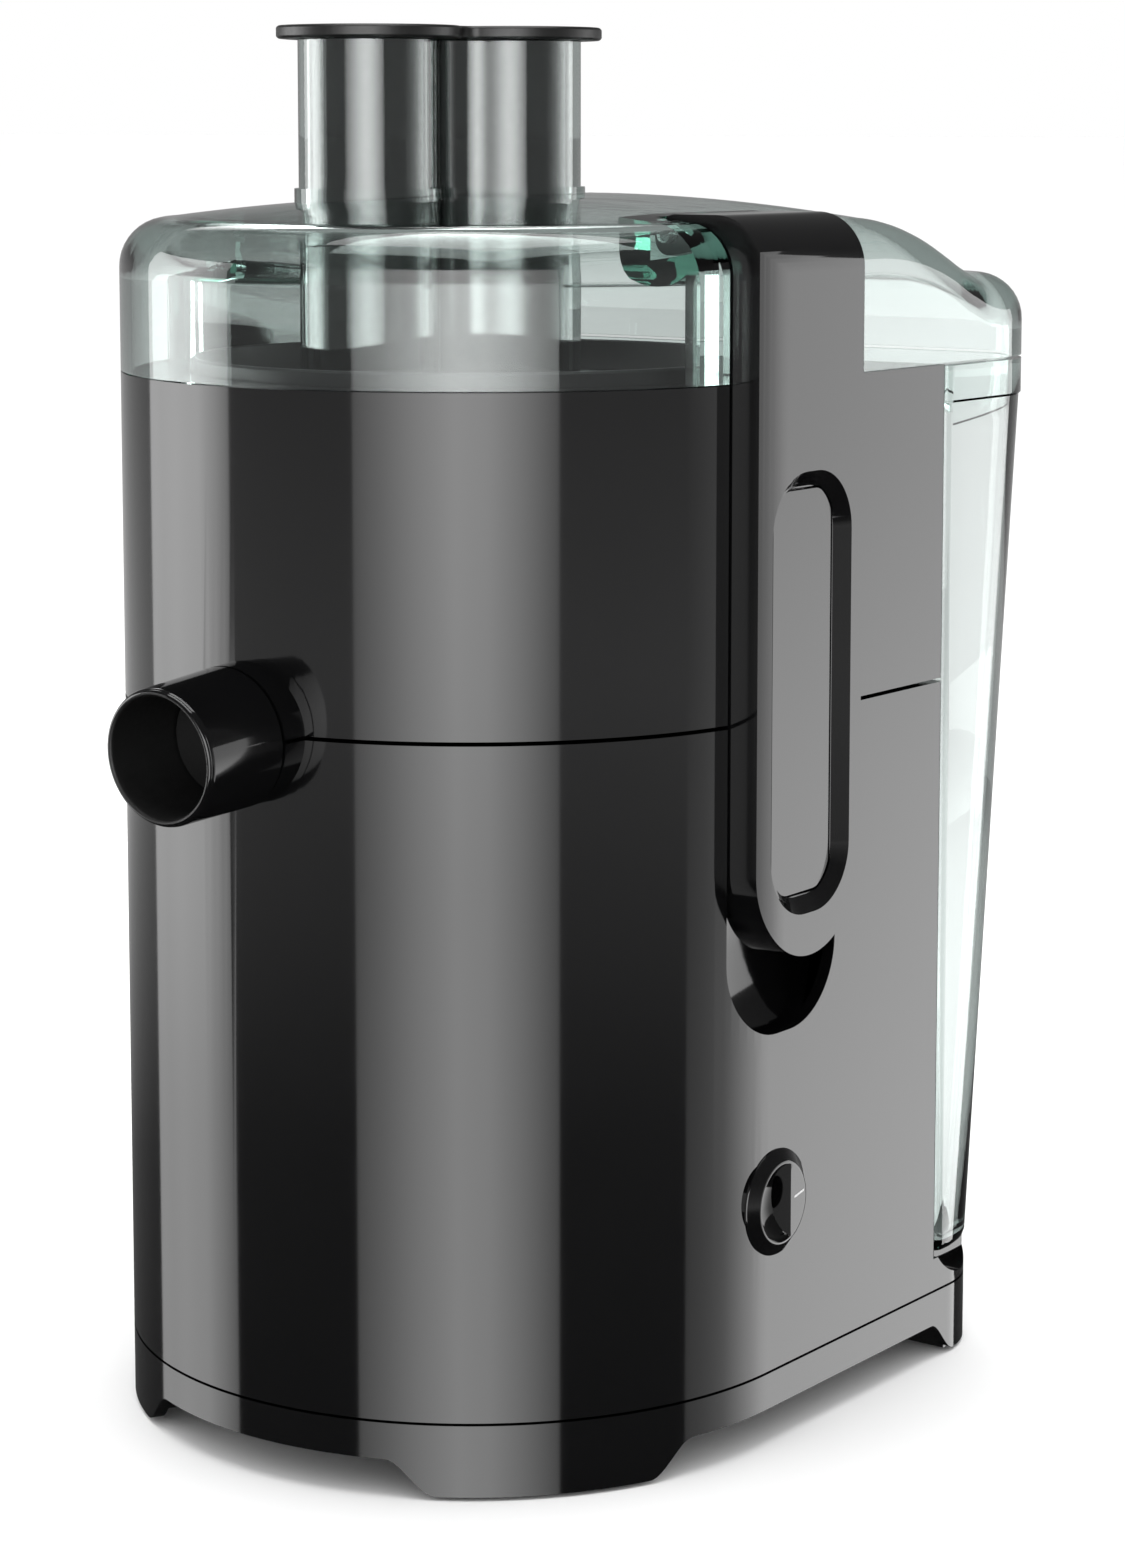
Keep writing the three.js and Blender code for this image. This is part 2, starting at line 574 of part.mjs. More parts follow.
function feedLid() {
  const low = LID_SEAM + GAP / 2;
  const outer = lidForm(0, low);
  const shell = cut(outer, lidForm(WALL, low - 5));
  const backing = bothSides(join(
    channelBacking(low, LID_SHOULDER - 10, BODY_R - CHANNEL_X + WALL),
    box(PIN_X - 8, BODY_R, ARM_MID_Y - 24, ARM_MID_Y + 24, CHANNEL_TOP - WALL, LID_CROWN),
    crossPrism(arc(PIN_X, PIN_Z, 9, 0, 360, 12).slice(1), ARM_MID_Y - 24, ARM_MID_Y + 24),
  )).intersect(outer);
  const chute = prism(kidney(CHUTE_HALF), 206, CHUTE_TOP);
  const pinWay = crossPrism(arc(PIN_X, PIN_Z, PIN_R + GAP, 0, 360, 12).slice(1), -17.6, 29.6);
  return cut(
    join(shell, backing, chute),
    bothSides(channelTool()),
    bothSides(pinWay),
    prism(kidney(CHUTE_HALF - 1.8), 200, CHUTE_TOP + 5),
  );
}

const latchPin = () => crossPrism(arc(PIN_X, PIN_Z, PIN_R, 0, 360, 12).slice(1), -17.2, 29.2);

function foodPusher() {
  const plunger = prism(kidney(PUSHER_HALF), 208, CHUTE_TOP + 2);
  const flange = prism(kidney(FLANGE_HALF), CHUTE_TOP + GAP, PUSHER_TOP);
  return cut(join(plunger, flange), prism(kidney(PUSHER_HALF - 2), 210.5, PUSHER_TOP + 1));
}

// ---------- locking arms ----------
const RECESS = { half: 15.2, low: 120.8, high: 216.4, bevel: 4.6, depth: 4.2 };

/** Arm hinged over the lid's shoulder; its lower end lies over the finger scoop. */
function lockingArm() {
  const profile = [
    new THREE.Vector2(ARM_FACE, ARM_BOTTOM - 1),
    ...arc(ARM_FACE - 12, ARM_TOP - 12, 12, 0, 90, 6),
    ...arc(PIN_X, PIN_Z, ARM_TOP - PIN_Z, 90, 270, 8),
    ...arc(ARM_BACK - 6, ARM_UNDER - 6, 6, 90, 0, 4),
    new THREE.Vector2(ARM_BACK, ARM_BOTTOM - 1),
  ];
  const half = ARM_WIDTH / 2;
  const outline = [
    new THREE.Vector2(ARM_MID_Y + half, ARM_TOP + 5),
    new THREE.Vector2(ARM_MID_Y - half, ARM_TOP + 5),
    ...arc(ARM_MID_Y, ARM_BOTTOM + half, half, 180, 360, 14),
  ];
  const strip = crossPrism(profile, ARM_MID_Y - half, ARM_MID_Y + half);
  const arm = strip.intersect(sidePrism(outline, 50, ARM_FACE + 5));
  const pinHole = crossPrism(arc(PIN_X, PIN_Z, PIN_R + 0.35, 0, 360, 12).slice(1), -20, 35);
  return cut(arm, pinHole, recessTool(), inlayShape(GAP, ARM_FACE - RECESS.depth - 1.5));
}

/** Bevelled pill recess in the arm's outer face. */
function recessTool() {
  const { half, low, high, bevel, depth } = RECESS;
  const level = (inset, z) => ({ outline: pill(half - inset, low + inset, high - inset), z });
  const tool = loft([level(bevel, 0), level(0, depth), level(-1, depth + 1)]);
  return tool.rotate([90, 0, 90]).translate([ARM_FACE - depth, 0, 0]);
}

/** Flat grip panel let into the floor of the recess. */
function inlayShape(grow, back) {
  const { half, low, high, bevel, depth } = RECESS;
  const inset = bevel + 0.6 - grow;
  return sidePrism(pill(half - inset, low + inset, high - inset), back, ARM_FACE - depth + grow);
}
const armInlay = () => inlayShape(0, ARM_FACE - RECESS.depth - 1.2);

// ---------- pulp container ----------
function pulpContainer() {
  const [low, top] = [SHELF_Z + 0.5, LID_SEAM - 0.6];
  const taper = (z) => BASE_BACK + (LID_BACK - BASE_BACK) * (z - low) / (227 - low);
  const level = (inset, z) => ({ outline: containerPlan(inset, Math.min(taper(z), LID_BACK)), z });
  const outer = loft([level(0.8, low), level(0, low + 1.2), level(0, 227), level(0, top)]);
  const inner = loft([level(WALL, low + 3), level(WALL, 227), level(WALL, top + 1)]);
  return cut(outer, inner);
}

// ---------- assembly ----------
const juicer = new THREE.Group();
const fromMotorAxis = new THREE.Group();
fromMotorAxis.position.y = AXIS_Y;
juicer.add(fromMotorAxis);

function add(name, piece, look) {
  const { vertProperties, triVerts } = piece.getMesh();
  const geometry = new THREE.BufferGeometry();
  geometry.setAttribute('position', new THREE.BufferAttribute(new Float32Array(vertProperties), 3));
  geometry.setIndex(new THREE.BufferAttribute(new Uint32Array(triVerts), 1));
  const mesh = new THREE.Mesh(geometry, new THREE.MeshStandardMaterial(look));
  mesh.name = name;
  fromMotorAxis.add(mesh);
}

add('base_housing', baseHousing(), BLACK_GLOSS);
add('bottom_cover', bottomCover(), BLACK_GLOSS);
footPlaces().forEach((place, i) => add(`foot_pad_${i + 1}`, footPad(place), RUBBER));
screwPlaces().forEach((place, i) => add(`base_screw_${i + 1}`, baseScrew(place), STEEL));

add('stator_core', statorCore(), LAMINATION);
add('field_coil_front', fieldCoil(-1), COPPER);
add('field_coil_rear', fieldCoil(1), COPPER);
add('upper_motor_bracket', motorBracket(135, 139, CORE_HIGH + GAP, 9.3), LAMINATION);
add('lower_motor_bracket', motorBracket(44, 48, CORE_LOW - GAP, 8.3), LAMINATION);
add('upper_bearing', ring(4.4, 9, 134, 139.5, 16), STEEL);
add('lower_bearing', ring(4.4, 8, 43.5, 48.5, 16), STEEL);
corners.forEach(([x, y], i) => {
  const damper = disc(6, 139 + GAP, DECK_Z - 3.5 - GAP, 10).translate([x, y, 0]);
  add(`motor_damper_${i + 1}`, damper, RUBBER);
});
add('brush_holder_left', brushHolder(-1), NYLON);
add('brush_holder_right', brushHolder(1), NYLON);
add('carbon_brush_left', carbonBrush(-1), CARBON);
add('carbon_brush_right', carbonBrush(1), CARBON);
add('shaft_seal', ring(4.4, 7.2, 167, 173, 16), RUBBER);
add('speed_switch', speedSwitch(), NYLON);
add('interlock_switch', interlockSwitch(), NYLON);
add('cord_gland', cordGland(), RUBBER);

add('motor_shaft', motorShaft(), STEEL);
add('armature_core', armatureCore(), LAMINATION);
add('commutator', ring(4.4, 10, 55, 66, 20), COPPER);
add('cooling_fan', coolingFan(), NYLON);
add('drive_coupling', driveCoupling(), NYLON);

add('juice_bowl', juiceBowl(), BLACK_GLOSS);
add('juice_nozzle', juiceNozzle(), BLACK_GLOSS);
add('strainer_mesh', strainerMesh(), STEEL);
add('strainer_rim', strainerRim(), BLACK_SATIN);
add('grater_disc', graterDisc(), STEEL);
add('basket_hub', basketHub(), NYLON);

add('feed_lid', feedLid(), CLEAR_GREEN);
add('latch_pin_right', latchPin(), STEEL);
add('latch_pin_left', mirrored(latchPin()), STEEL);
add('food_pusher', foodPusher(), SMOKE_GREY);
add('locking_arm_right', lockingArm(), BLACK_GLOSS);
add('locking_arm_left', mirrored(lockingArm()), BLACK_GLOSS);
add('arm_inlay_right', armInlay(), BLACK_GLOSS);
add('arm_inlay_left', mirrored(armInlay()), BLACK_GLOSS);
add('pulp_container', pulpContainer(), CLEAR_GREEN);
add('speed_knob', speedKnob(), BLACK_GLOSS);

export default juicer;
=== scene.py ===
"""Centrifugal juicer: black gloss base and bowl, clear lid and pulp container, studio light.

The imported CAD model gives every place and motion. The visible pieces are rebuilt here with
fine meshes. Shapes are laid out in millimetres from the motor axis and scaled to metres.
"""
import json
import math

import bmesh
import bpy
from mathutils import Matrix, Vector


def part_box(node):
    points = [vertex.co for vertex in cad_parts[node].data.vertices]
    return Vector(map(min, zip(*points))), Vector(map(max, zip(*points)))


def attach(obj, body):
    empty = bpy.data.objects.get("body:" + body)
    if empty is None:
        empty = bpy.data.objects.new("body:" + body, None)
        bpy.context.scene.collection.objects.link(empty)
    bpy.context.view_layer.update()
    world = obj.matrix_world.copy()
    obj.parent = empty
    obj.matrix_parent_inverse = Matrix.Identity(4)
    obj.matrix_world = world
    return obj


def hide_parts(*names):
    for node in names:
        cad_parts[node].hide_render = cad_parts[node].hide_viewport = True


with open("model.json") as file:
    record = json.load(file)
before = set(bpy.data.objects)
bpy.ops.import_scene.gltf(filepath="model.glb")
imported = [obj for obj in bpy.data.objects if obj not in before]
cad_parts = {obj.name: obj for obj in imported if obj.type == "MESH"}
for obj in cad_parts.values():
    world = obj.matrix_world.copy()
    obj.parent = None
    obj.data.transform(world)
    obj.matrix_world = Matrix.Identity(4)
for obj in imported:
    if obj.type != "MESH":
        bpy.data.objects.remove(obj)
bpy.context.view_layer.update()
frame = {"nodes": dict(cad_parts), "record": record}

MM = 0.001


def span(node):
    """Lowest and highest corner of a CAD node in millimetres."""
    low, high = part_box(node)
    return Vector(low) / MM, Vector(high) / MM


# ---------- sizes, in millimetres from the motor axis ----------
AXIS_Y = sum(corner.y for corner in span("motor_shaft")) / 2
BODY_R = span("juice_bowl")[1].x
BODY_BACK = span("juice_bowl")[1].y - AXIS_Y
BASE_BACK = span("base_housing")[1].y - AXIS_Y
LID_BACK = span("feed_lid")[1].y - AXIS_Y
BODY_CORNER = 1.5
REAR_CORNER = 24.0
BOTTOM_SEAM = span("bottom_cover")[1].z
BOWL_SEAM = 163.0
LID_SEAM = 236.0
SEAM_GAP = 0.3
BODY_SEAM_GAP = 0.9
BOTTOM_SEAM_GAP = 0.6
WALL = 2.4
BASE_WALL = 3.0

# motor base
SHELF_Z = span("pulp_container")[0].z - 0.5
DECK_Z = 146.5
DECK_THICK = 3.5
SKIRT_Z = 8.6
LEG_Z = 0.9
PLATE = 2.6
LEG_INSET, LEG_DEPTH = 1.5, 20.0
LEG_FROM, LEG_TO = 31.0, 65.0
REAR_LEG = 24.0
SCREW_WAY, SCREW_SINK, SCREW_BOSS = 2.1, 3.8, 5.5
PAD_POCKET = 6.8
KNOB_Y, KNOB_Z = -3.0, 57.4
KNOB_RIM, KNOB_NECK, KNOB_SHAFT = 11.8, 7.8, 3.0
GLAND_Y, GLAND_Z = 34.0, 30.0

# bowl and nozzle
BOWL_FLOOR = 171.0
BASIN_R = 66.0
NOZZLE_TILT = 4.0
NOZZLE_R = 15.2
NOZZLE_ROOT = 5.2
NOZZLE_SOCKET = 13.4
NOZZLE_TUBE = 11.5
NOZZLE_BORE = 9.4
NOZZLE_LIP, NOZZLE_LIP_EDGE = 0.62, 14.2
NOZZLE_DARK_R = 14.0

# basket
GRATER_Z = span("grater_disc")[0].z
BASKET_TOP = span("strainer_rim")[1].z

# lid, chute and pusher
LID_SHOULDER = 270.0
LID_CROWN = 274.6
REAR_LID_Z = 255.6
LID_SLOPE_FROM, LID_SLOPE_TO = 40.0, 90.0
LID_SLOPE_CURVE = 2.3
LID_SLOPE_BLEND = 0.22
SHOULDER_R = 11.0
CHUTE_TOP = span("feed_lid")[1].z - 1.5
PUSHER_TOP = span("food_pusher")[1].z - 2.6
CHUTE_R = 24.0
CHUTE_FROM, CHUTE_TO = 108.0, 214.0
CHUTE_HALF = 16.0
CHUTE_WALL = 1.8
CHUTE_LOW = 206.0
PUSHER_HALF = 13.4
PUSHER_WALL = 2.0
PUSHER_LOW = 208.0
FLANGE_HALF = 20.8

# arms, their channels and the scoops under them
ARM_MID_Y = 6.0
ARM_HALF = 20.0
ARM_FACE = span("locking_arm_right")[1].x
ARM_BOTTOM = span("locking_arm_right")[0].z
ARM_TOP = span("locking_arm_right")[1].z
ARM_BACK = 76.4
ARM_UNDER = 263.9
ARM_TOP_R = 12.0
ARM_INNER_R = 6.0
ARM_CROWN_Y, ARM_CROWN_R = -4.0, 60.0
LEFT_CAP, LEFT_CAP_DROP = 3.5, 0.7
PIN_X = 64.1
PIN_Z = (ARM_TOP + ARM_UNDER) / 2
CHANNEL_X = ARM_BACK - 0.4
CHANNEL_TOP = ARM_UNDER - 0.4
CHANNEL_HALF = ARM_HALF + 0.6
BACKING_HALF = 24.0
FRONT_WALL_HALF = 27.0
RECESS_HALF, RECESS_CORNER = 15.6, 13.6
RECESS_LOW, RECESS_HIGH = 120.4, 216.8
RECESS_BEVEL, RECESS_DEPTH = 3.4, 2.7
SCOOP_RADII = (14, 44, 28)
SCOOP_RISE = 7.0
SCOOP_LOW = 93.0
SCOOP_CORNER = 18.0

# container
CONTAINER_FRONT = 73.6
CONTAINER_RIM = 226.0
THUMB_Y, THUMB_R = 86.0, 16.0


# ---------- mesh making ----------
def to_object(name, verts, faces):
    """Closed mesh object in metres from points in millimetres about the motor axis."""
    bm = bmesh.new()
    points = [bm.verts.new((x * MM, (y + AXIS_Y) * MM, z * MM)) for x, y, z in verts]
    for face in faces:
        bm.faces.new([points[i] for i in face])
    bmesh.ops.remove_doubles(bm, verts=bm.verts, dist=1e-7)
    bmesh.ops.dissolve_degenerate(bm, edges=bm.edges, dist=1e-7)
    bmesh.ops.recalc_face_normals(bm, faces=bm.faces)
    mesh = bpy.data.meshes.new(name)
    bm.to_mesh(mesh)
    bm.free()
    obj = bpy.data.objects.new(name, mesh)
    bpy.context.scene.collection.objects.link(obj)
    return obj


def loft(name, rings, closed=False):
    """Skin through rings of equal count. closed joins the last ring to the first, else it is capped."""
    count = len(rings[0])
    verts = [point for ring in rings for point in ring]
    faces = []
    levels = len(rings) if closed else len(rings) - 1
    for level in range(levels):
        a, b = level * count, ((level + 1) % len(rings)) * count
        for i in range(count):
            j = (i + 1) % count
            faces.append((a + i, a + j, b + j, b + i))
    if not closed:
        faces.append(tuple(reversed(range(count))))
        faces.append(tuple(range(len(verts) - count, len(verts))))
    return to_object(name, verts, faces)


def at_height(outline, z):
    return [(x, y, z) for x, y in outline]


def prism(name, outline, low, high):
    """Upright prism over an outline in X and Y."""
    return loft(name, [at_height(outline, low), at_height(outline, high)])


def side_prism(name, outline, low, high):
    """Prism along X over an outline in Y and Z."""
    return loft(name, [[(x, y, z) for y, z in outline] for x in (low, high)])


def cross_prism(name, outline, low, high):
    """Prism along Y over an outline in X and Z."""
    return loft(name, [[(x, y, z) for x, z in outline] for y in (low, high)])


def box(name, low, high):
    outline = [(low[0], low[1]), (high[0], low[1]), (high[0], high[1]), (low[0], high[1])]
    return prism(name, outline, low[2], high[2])


def turned(name, profile, steps=64, place=None):
    """Solid of revolution about Z from [radius, height] points; place moves it where it goes."""
    place = place or (lambda x, y, z: (x, y, z))
    rings = []
    for step in range(steps):
        angle = math.tau * step / steps
        rings.append([place(r * math.cos(angle), r * math.sin(angle), z) for r, z in profile])
    return loft(name, rings, closed=True)


def along_nozzle(x, y, z):
    """Turns the Z axis into the nozzle's axis, from the nose outwards and a little down."""
    tilt = math.radians(NOZZLE_TILT)
    forward = z * math.cos(tilt) - y * math.sin(tilt)
    up = -z * math.sin(tilt) - y * math.cos(tilt)
    return (x, -BODY_R - forward, BOWL_SEAM + up)


def towards_side(y0, z0):
    """Turns the Z axis into +X through the point (y0, z0) of the flat side."""
    return lambda x, y, z: (z, y0 + y, z0 - x)


def disc(name, radius, low, high, steps=64, place=None):
    return turned(name, [(0, low), (radius, low), (radius, high), (0, high)], steps, place)


def apply_modifiers(obj):
    depsgraph = bpy.context.evaluated_depsgraph_get()
    shape = bpy.data.meshes.new_from_object(obj.evaluated_get(depsgraph))
    obj.modifiers.clear()
    old = obj.data
    obj.data = shape
    bpy.data.meshes.remove(old)
    return obj


def combine(target, operation, *tools):
    """Joins, cuts or keeps the common part of closed meshes; the tools are used up."""
    for tool in tools:
        modifier = target.modifiers.new("combine", "BOOLEAN")
        modifier.operation = operation
        modifier.object = tool
        modifier.solver = "EXACT"
        apply_modifiers(target)
        bpy.data.objects.remove(tool)
    return target


def join(target, *tools):
    return combine(target, "UNION", *tools)


def cut(target, *tools):
    return combine(target, "DIFFERENCE", *tools)


def common(target, *tools):
    return combine(target, "INTERSECT", *tools)


def mirrored(obj, name):
    """Copy of a piece on the other side of the juicer."""
    twin = obj.copy()
    twin.data = obj.data.copy()
    twin.name = name
    bpy.context.scene.collection.objects.link(twin)
    twin.data.transform(Matrix.Scale(-1, 4, (1, 0, 0)))
    twin.data.flip_normals()
    return twin


def both_sides(tool):
    return tool, mirrored(tool, tool.name + "_left")


def soften(obj, width, segments=3, angle=40, weighted=True):
    """Rounds the hard edges and shades the piece smooth with flat faces kept flat."""
    if width:
        bevel = obj.modifiers.new("edges", "BEVEL")
        bevel.width = width * MM
        bevel.segments = segments
        bevel.limit_method = "ANGLE"
        bevel.angle_limit = math.radians(angle)
        bevel.use_clamp_overlap = True
        bevel.miter_outer = "MITER_ARC"
        apply_modifiers(obj)
    obj.data.polygons.foreach_set("use_smooth", [True] * len(obj.data.polygons))
    obj.data.set_sharp_from_angle(angle=math.radians(32))
    if weighted:
        shading = obj.modifiers.new("shading", "WEIGHTED_NORMAL")
        shading.keep_sharp = True
        shading.weight = 80
    return obj


# ---------- outlines ----------
def arc(x, y, radius, start, end, steps):
    """Points on an arc, in degrees anticlockwise from the first axis."""
    points = []
    for i in range(steps + 1):
        angle = math.radians(start + (end - start) * i / steps)
        points.append((x + radius * math.cos(angle), y + radius * math.sin(angle)))
    return points


def line(start, end, steps):
    """Points between two ends, both left out."""
    return [(start[0] + (end[0] - start[0]) * i / steps, start[1] + (end[1] - start[1]) * i / steps)
            for i in range(1, steps)]


def body_plan(inset, back, corner, nose=96, side=1, bend=10):
    """Plan of the juicer: half-round nose, flat sides, rounded back corners."""
    half = BODY_R - inset
    rear = back - inset
    r = max(corner - inset, 0.0)
    return [
        *arc(0, 0, half, 180, 360, nose),
        *line((half, 0), (half, rear - r), side),
        *arc(half - r, rear - r, r, 0, 90, bend),
        *line((half - r, rear), (r - half, rear), side),
        *arc(r - half, rear - r, r, 90, 180, bend),
        *line((-half, rear - r), (-half, 0), side),
    ]


def container_plan(inset, back, front_corner=2):
    half = BODY_R - inset
    front = CONTAINER_FRONT + inset + front_corner
    r = REAR_CORNER - inset
    return [
        *arc(front_corner - half, front, front_corner, 180, 270, 4),
        *arc(half - front_corner, front, front_corner, 270, 360, 4),
        *arc(half - r, back - inset - r, r, 0, 90, 20),
        *arc(r - half, back - inset - r, r, 90, 180, 20),
    ]


def kidney(half, steps=40):
    """Outline that follows the chute's curved centre line at a distance."""
    end_to, end_from = [(CHUTE_R * math.cos(math.radians(angle)), CHUTE_R * math.sin(math.radians(angle)))
                        for angle in (CHUTE_TO, CHUTE_FROM)]
    return [
        *arc(0, 0, CHUTE_R + half, CHUTE_FROM, CHUTE_TO, steps),
        *arc(*end_to, half, CHUTE_TO, CHUTE_TO + 180, steps)[1:-1],
        *arc(0, 0, CHUTE_R - half, CHUTE_TO, CHUTE_FROM, steps // 2),
        *arc(*end_from, half, CHUTE_FROM + 180, CHUTE_FROM + 360, steps)[1:-1],
    ]


def slot_outline(half, low, high, corner, steps=16):
    """Upright slot with rounded corners, in Y and Z."""
    left, right = ARM_MID_Y - half + corner, ARM_MID_Y + half - corner
    return [
        *arc(right, high - corner, corner, 0, 90, steps),
        *arc(left, high - corner, corner, 90, 180, steps),
        *arc(left, low + corner, corner, 180, 270, steps),
        *arc(right, low + corner, corner, 270, 360, steps),
    ]


# ---------- shared cutting shapes ----------
def channel_tool():
    """What the arm's channel takes out of a flat side and the lid's shoulder."""
    outer, low, high = ARM_FACE + 10, ARM_BOTTOM - 20, LID_CROWN + 10
    inner = PIN_X - 4.6
    profile = [
        (outer, low), (outer, high), (inner, high), (inner, CHANNEL_TOP),
        *arc(CHANNEL_X - ARM_INNER_R, CHANNEL_TOP - ARM_INNER_R, ARM_INNER_R, 90, 0, 12),
        (CHANNEL_X, low),
    ]
    front, rear = ARM_MID_Y - CHANNEL_HALF, ARM_MID_Y + CHANNEL_HALF
    strip = cross_prism("channel", profile, front, rear)
    outline = [
        (rear, high + 10), (front, high + 10),
        *arc(ARM_MID_Y, ARM_BOTTOM + ARM_HALF, CHANNEL_HALF, 180, 360, 48),
    ]
    return common(strip, side_prism("channel_outline", outline, 50, outer + 2))


def ellipsoid(name, centre, radii, steps=48):
    profile = arc(0, 0, 1, -90, 90, steps // 2)
    place = lambda x, y, z: tuple(c + r * v for c, r, v in zip(centre, radii, (x, y, z)))
    return turned(name, profile, steps, place)


def finger_scoop():
    """Hollow under the arm's lower end: rounded inside, as wide as the channel."""
    hollow = ellipsoid("scoop", (BODY_R, ARM_MID_Y, ARM_BOTTOM + SCOOP_RISE), SCOOP_RADII)
    outline = slot_outline(CHANNEL_HALF, SCOOP_LOW, ARM_TOP, SCOOP_CORNER)
    return common(hollow, side_prism("scoop_outline", outline, 50, BODY_R + 14))


def channel_backing(low, high, depth):
    """Thicker wall behind an arm's channel, up to the body's outer face."""
    block = box("backing", (BODY_R - depth, ARM_MID_Y - BACKING_HALF, low),
                (BODY_R + 1, ARM_MID_Y + BACKING_HALF, high))
    return common(block, prism("backing_form", body_plan(0, BODY_BACK, BODY_CORNER), low - 1, high + 1))


def thumb_hollow():
    """Round hollow in the shelf's side, for lifting the container out."""
    place = lambda x, y, z: (z, THUMB_Y + y, SHELF_Z + 10 - x)
    return disc("thumb", THUMB_R, 74, 90, 64, place)


# ---------- pieces: motor base ----------
def body_block(name, inset, low, high):
    return prism(name, body_plan(inset, BODY_BACK, BODY_CORNER), low, high)


def nozzle_disc(name, radius, low, high, steps=64):
    return disc(name, radius, low, high, steps, along_nozzle)


def nozzle_collar(low, high):
    """Half of the collar round the nozzle's root, between two heights."""
    half = box("collar_half", (-20, -90, low), (20, -60, high))
    return common(nozzle_disc("collar", NOZZLE_R, -6, NOZZLE_ROOT - 0.4), half)


def container_shelf(low):
    shelf = common(prism("shelf", body_plan(0, BASE_BACK, REAR_CORNER, bend=20), low, SHELF_Z),
                   box("behind", (-90, BODY_BACK - 2, 0), (90, BASE_BACK + 5, 60)))
    room = box("shelf_room", (-58, BODY_BACK + 2, 0), (58, BASE_BACK - 6, SHELF_Z - BASE_WALL))
    return cut(shelf, room, *both_sides(thumb_hollow()))


def back_vents(low=120, high=124, half=9):
    return [box("back_vent", (x - half, BODY_BACK - 5, low), (x + half, BODY_BACK + 1, high))
            for x in (-45, -15, 15, 45)]


def make_base_housing():
    low, top, ceiling = BOTTOM_SEAM + BOTTOM_SEAM_GAP, BOWL_SEAM - BODY_SEAM_GAP / 2, DECK_Z - DECK_THICK
    shell = cut(body_block("base_housing_fine", 0, low, top),
                body_block("room", BASE_WALL, 0, ceiling), body_block("seat", BASE_WALL, DECK_Z, top + 5))
    collar, shelf = nozzle_collar(100, top), container_shelf(low)
    join(shell, *both_sides(channel_backing(88, DECK_Z - 0.2, 18)),
         *both_sides(channel_backing(DECK_Z - 1, top, BODY_R - CHANNEL_X + BASE_WALL)),
         disc("chimney", 11, ceiling, 176, 48), collar, shelf)
    return cut(
        shell, *both_sides(channel_tool()), *both_sides(finger_scoop()),
        disc("shaft_way", 7.6, DECK_Z - 5, 180, 48),
        nozzle_disc("nozzle_way", NOZZLE_SOCKET, -45, 20),
        box("nozzle_slot", (-NOZZLE_SOCKET, -95, BOWL_SEAM - 1), (NOZZLE_SOCKET, -40, 190)),
        disc("knob_way", KNOB_SHAFT + 0.6, 60, 90, 32, towards_side(KNOB_Y, KNOB_Z)),
        disc("gland_way", 5.6, -90, -60, 48, towards_side(GLAND_Y, GLAND_Z)),
        *back_vents(),
    )


# ---------- pieces: bowl ----------
def make_juice_bowl():
    low, top, under = BOWL_SEAM + BODY_SEAM_GAP / 2, LID_SEAM - SEAM_GAP / 2, BOWL_FLOOR - WALL
    shell = cut(body_block("juice_bowl_fine", 0, low, top),
                body_block("bowl_room", WALL, low - 5, top - WALL))
    collar = nozzle_collar(low, 200)
    socket = cut(nozzle_disc("socket", NOZZLE_SOCKET, 0, 20),
                 box("inner_side", (-30, -75, 100), (30, 0, 200)))
    join(shell, *both_sides(channel_backing(low, top, BODY_R - CHANNEL_X + WALL)),
         disc("basin", BASIN_R + WALL, under, top, 96), collar)
    cut(shell, disc("hollow", BASIN_R, BOWL_FLOOR, top + 5, 96), socket)
    join(shell, nozzle_disc("tube", NOZZLE_TUBE, -30, 9, 48), disc("chimney", 15.4, under, 186, 48))
    return cut(
        shell, *both_sides(channel_tool()), disc("hub_way", 13, BOWL_FLOOR - 5, 190, 48),
        nozzle_disc("bore", NOZZLE_BORE, -27, 20, 48),
        box("drain", (1 - NOZZLE_BORE, -62, BOWL_FLOOR - 2), (NOZZLE_BORE - 1, -52, BOWL_FLOOR + 8)),
    )


def make_nozzle():
    """Turned spout with a rounded lip; its socket sits over the bowl's tube."""
    drop = NOZZLE_LIP_EDGE * math.sin(math.radians(NOZZLE_TILT))
    reach = -span("juice_nozzle")[0].y + AXIS_Y - BODY_R - drop
    inner, tube = NOZZLE_TUBE + 0.4, NOZZLE_SOCKET - 0.5
    profile = [
        (inner, 0.6), (tube, 0.6), (tube, NOZZLE_ROOT), (NOZZLE_R - 0.5, NOZZLE_ROOT),
        (NOZZLE_R, NOZZLE_ROOT + 0.5), (14.7, reach - 1.4), (14.55, reach - 0.8),
        *arc(13.75, reach - NOZZLE_LIP, NOZZLE_LIP, 0, 180, 8), (13.0, reach - 1.4), (12.8, reach - 9),
        (inner, reach - 12),
    ]
    return turned("juice_nozzle_fine", profile, 96, along_nozzle)


# ---------- pieces: lid ----------
def smooth_step(value):
    """0 to 1 with level ends."""
    value = min(max(value, 0.0), 1.0)
    return value * value * (3 - 2 * value)


def lid_height(y, inset, drop):
    """Height of the lid's top at a distance in from its edge, lowered by drop."""
    front, shoulder = LID_SHOULDER, 0
    if inset > SHOULDER_R:
        front += (LID_CROWN - LID_SHOULDER) * (1 - ((BODY_R - inset) / (BODY_R - SHOULDER_R)) ** 2)
    else:
        shoulder = SHOULDER_R - math.sqrt(max(SHOULDER_R ** 2 - (SHOULDER_R - inset) ** 2, 0))
    along = max((y - LID_SLOPE_FROM) / (LID_SLOPE_TO - LID_SLOPE_FROM), 0) ** LID_SLOPE_CURVE
    level = max(1 - LID_SLOPE_BLEND * math.log1p(math.exp((1 - along) / LID_SLOPE_BLEND)), 0)
    return front + (REAR_LID_Z - front) * level - shoulder - drop


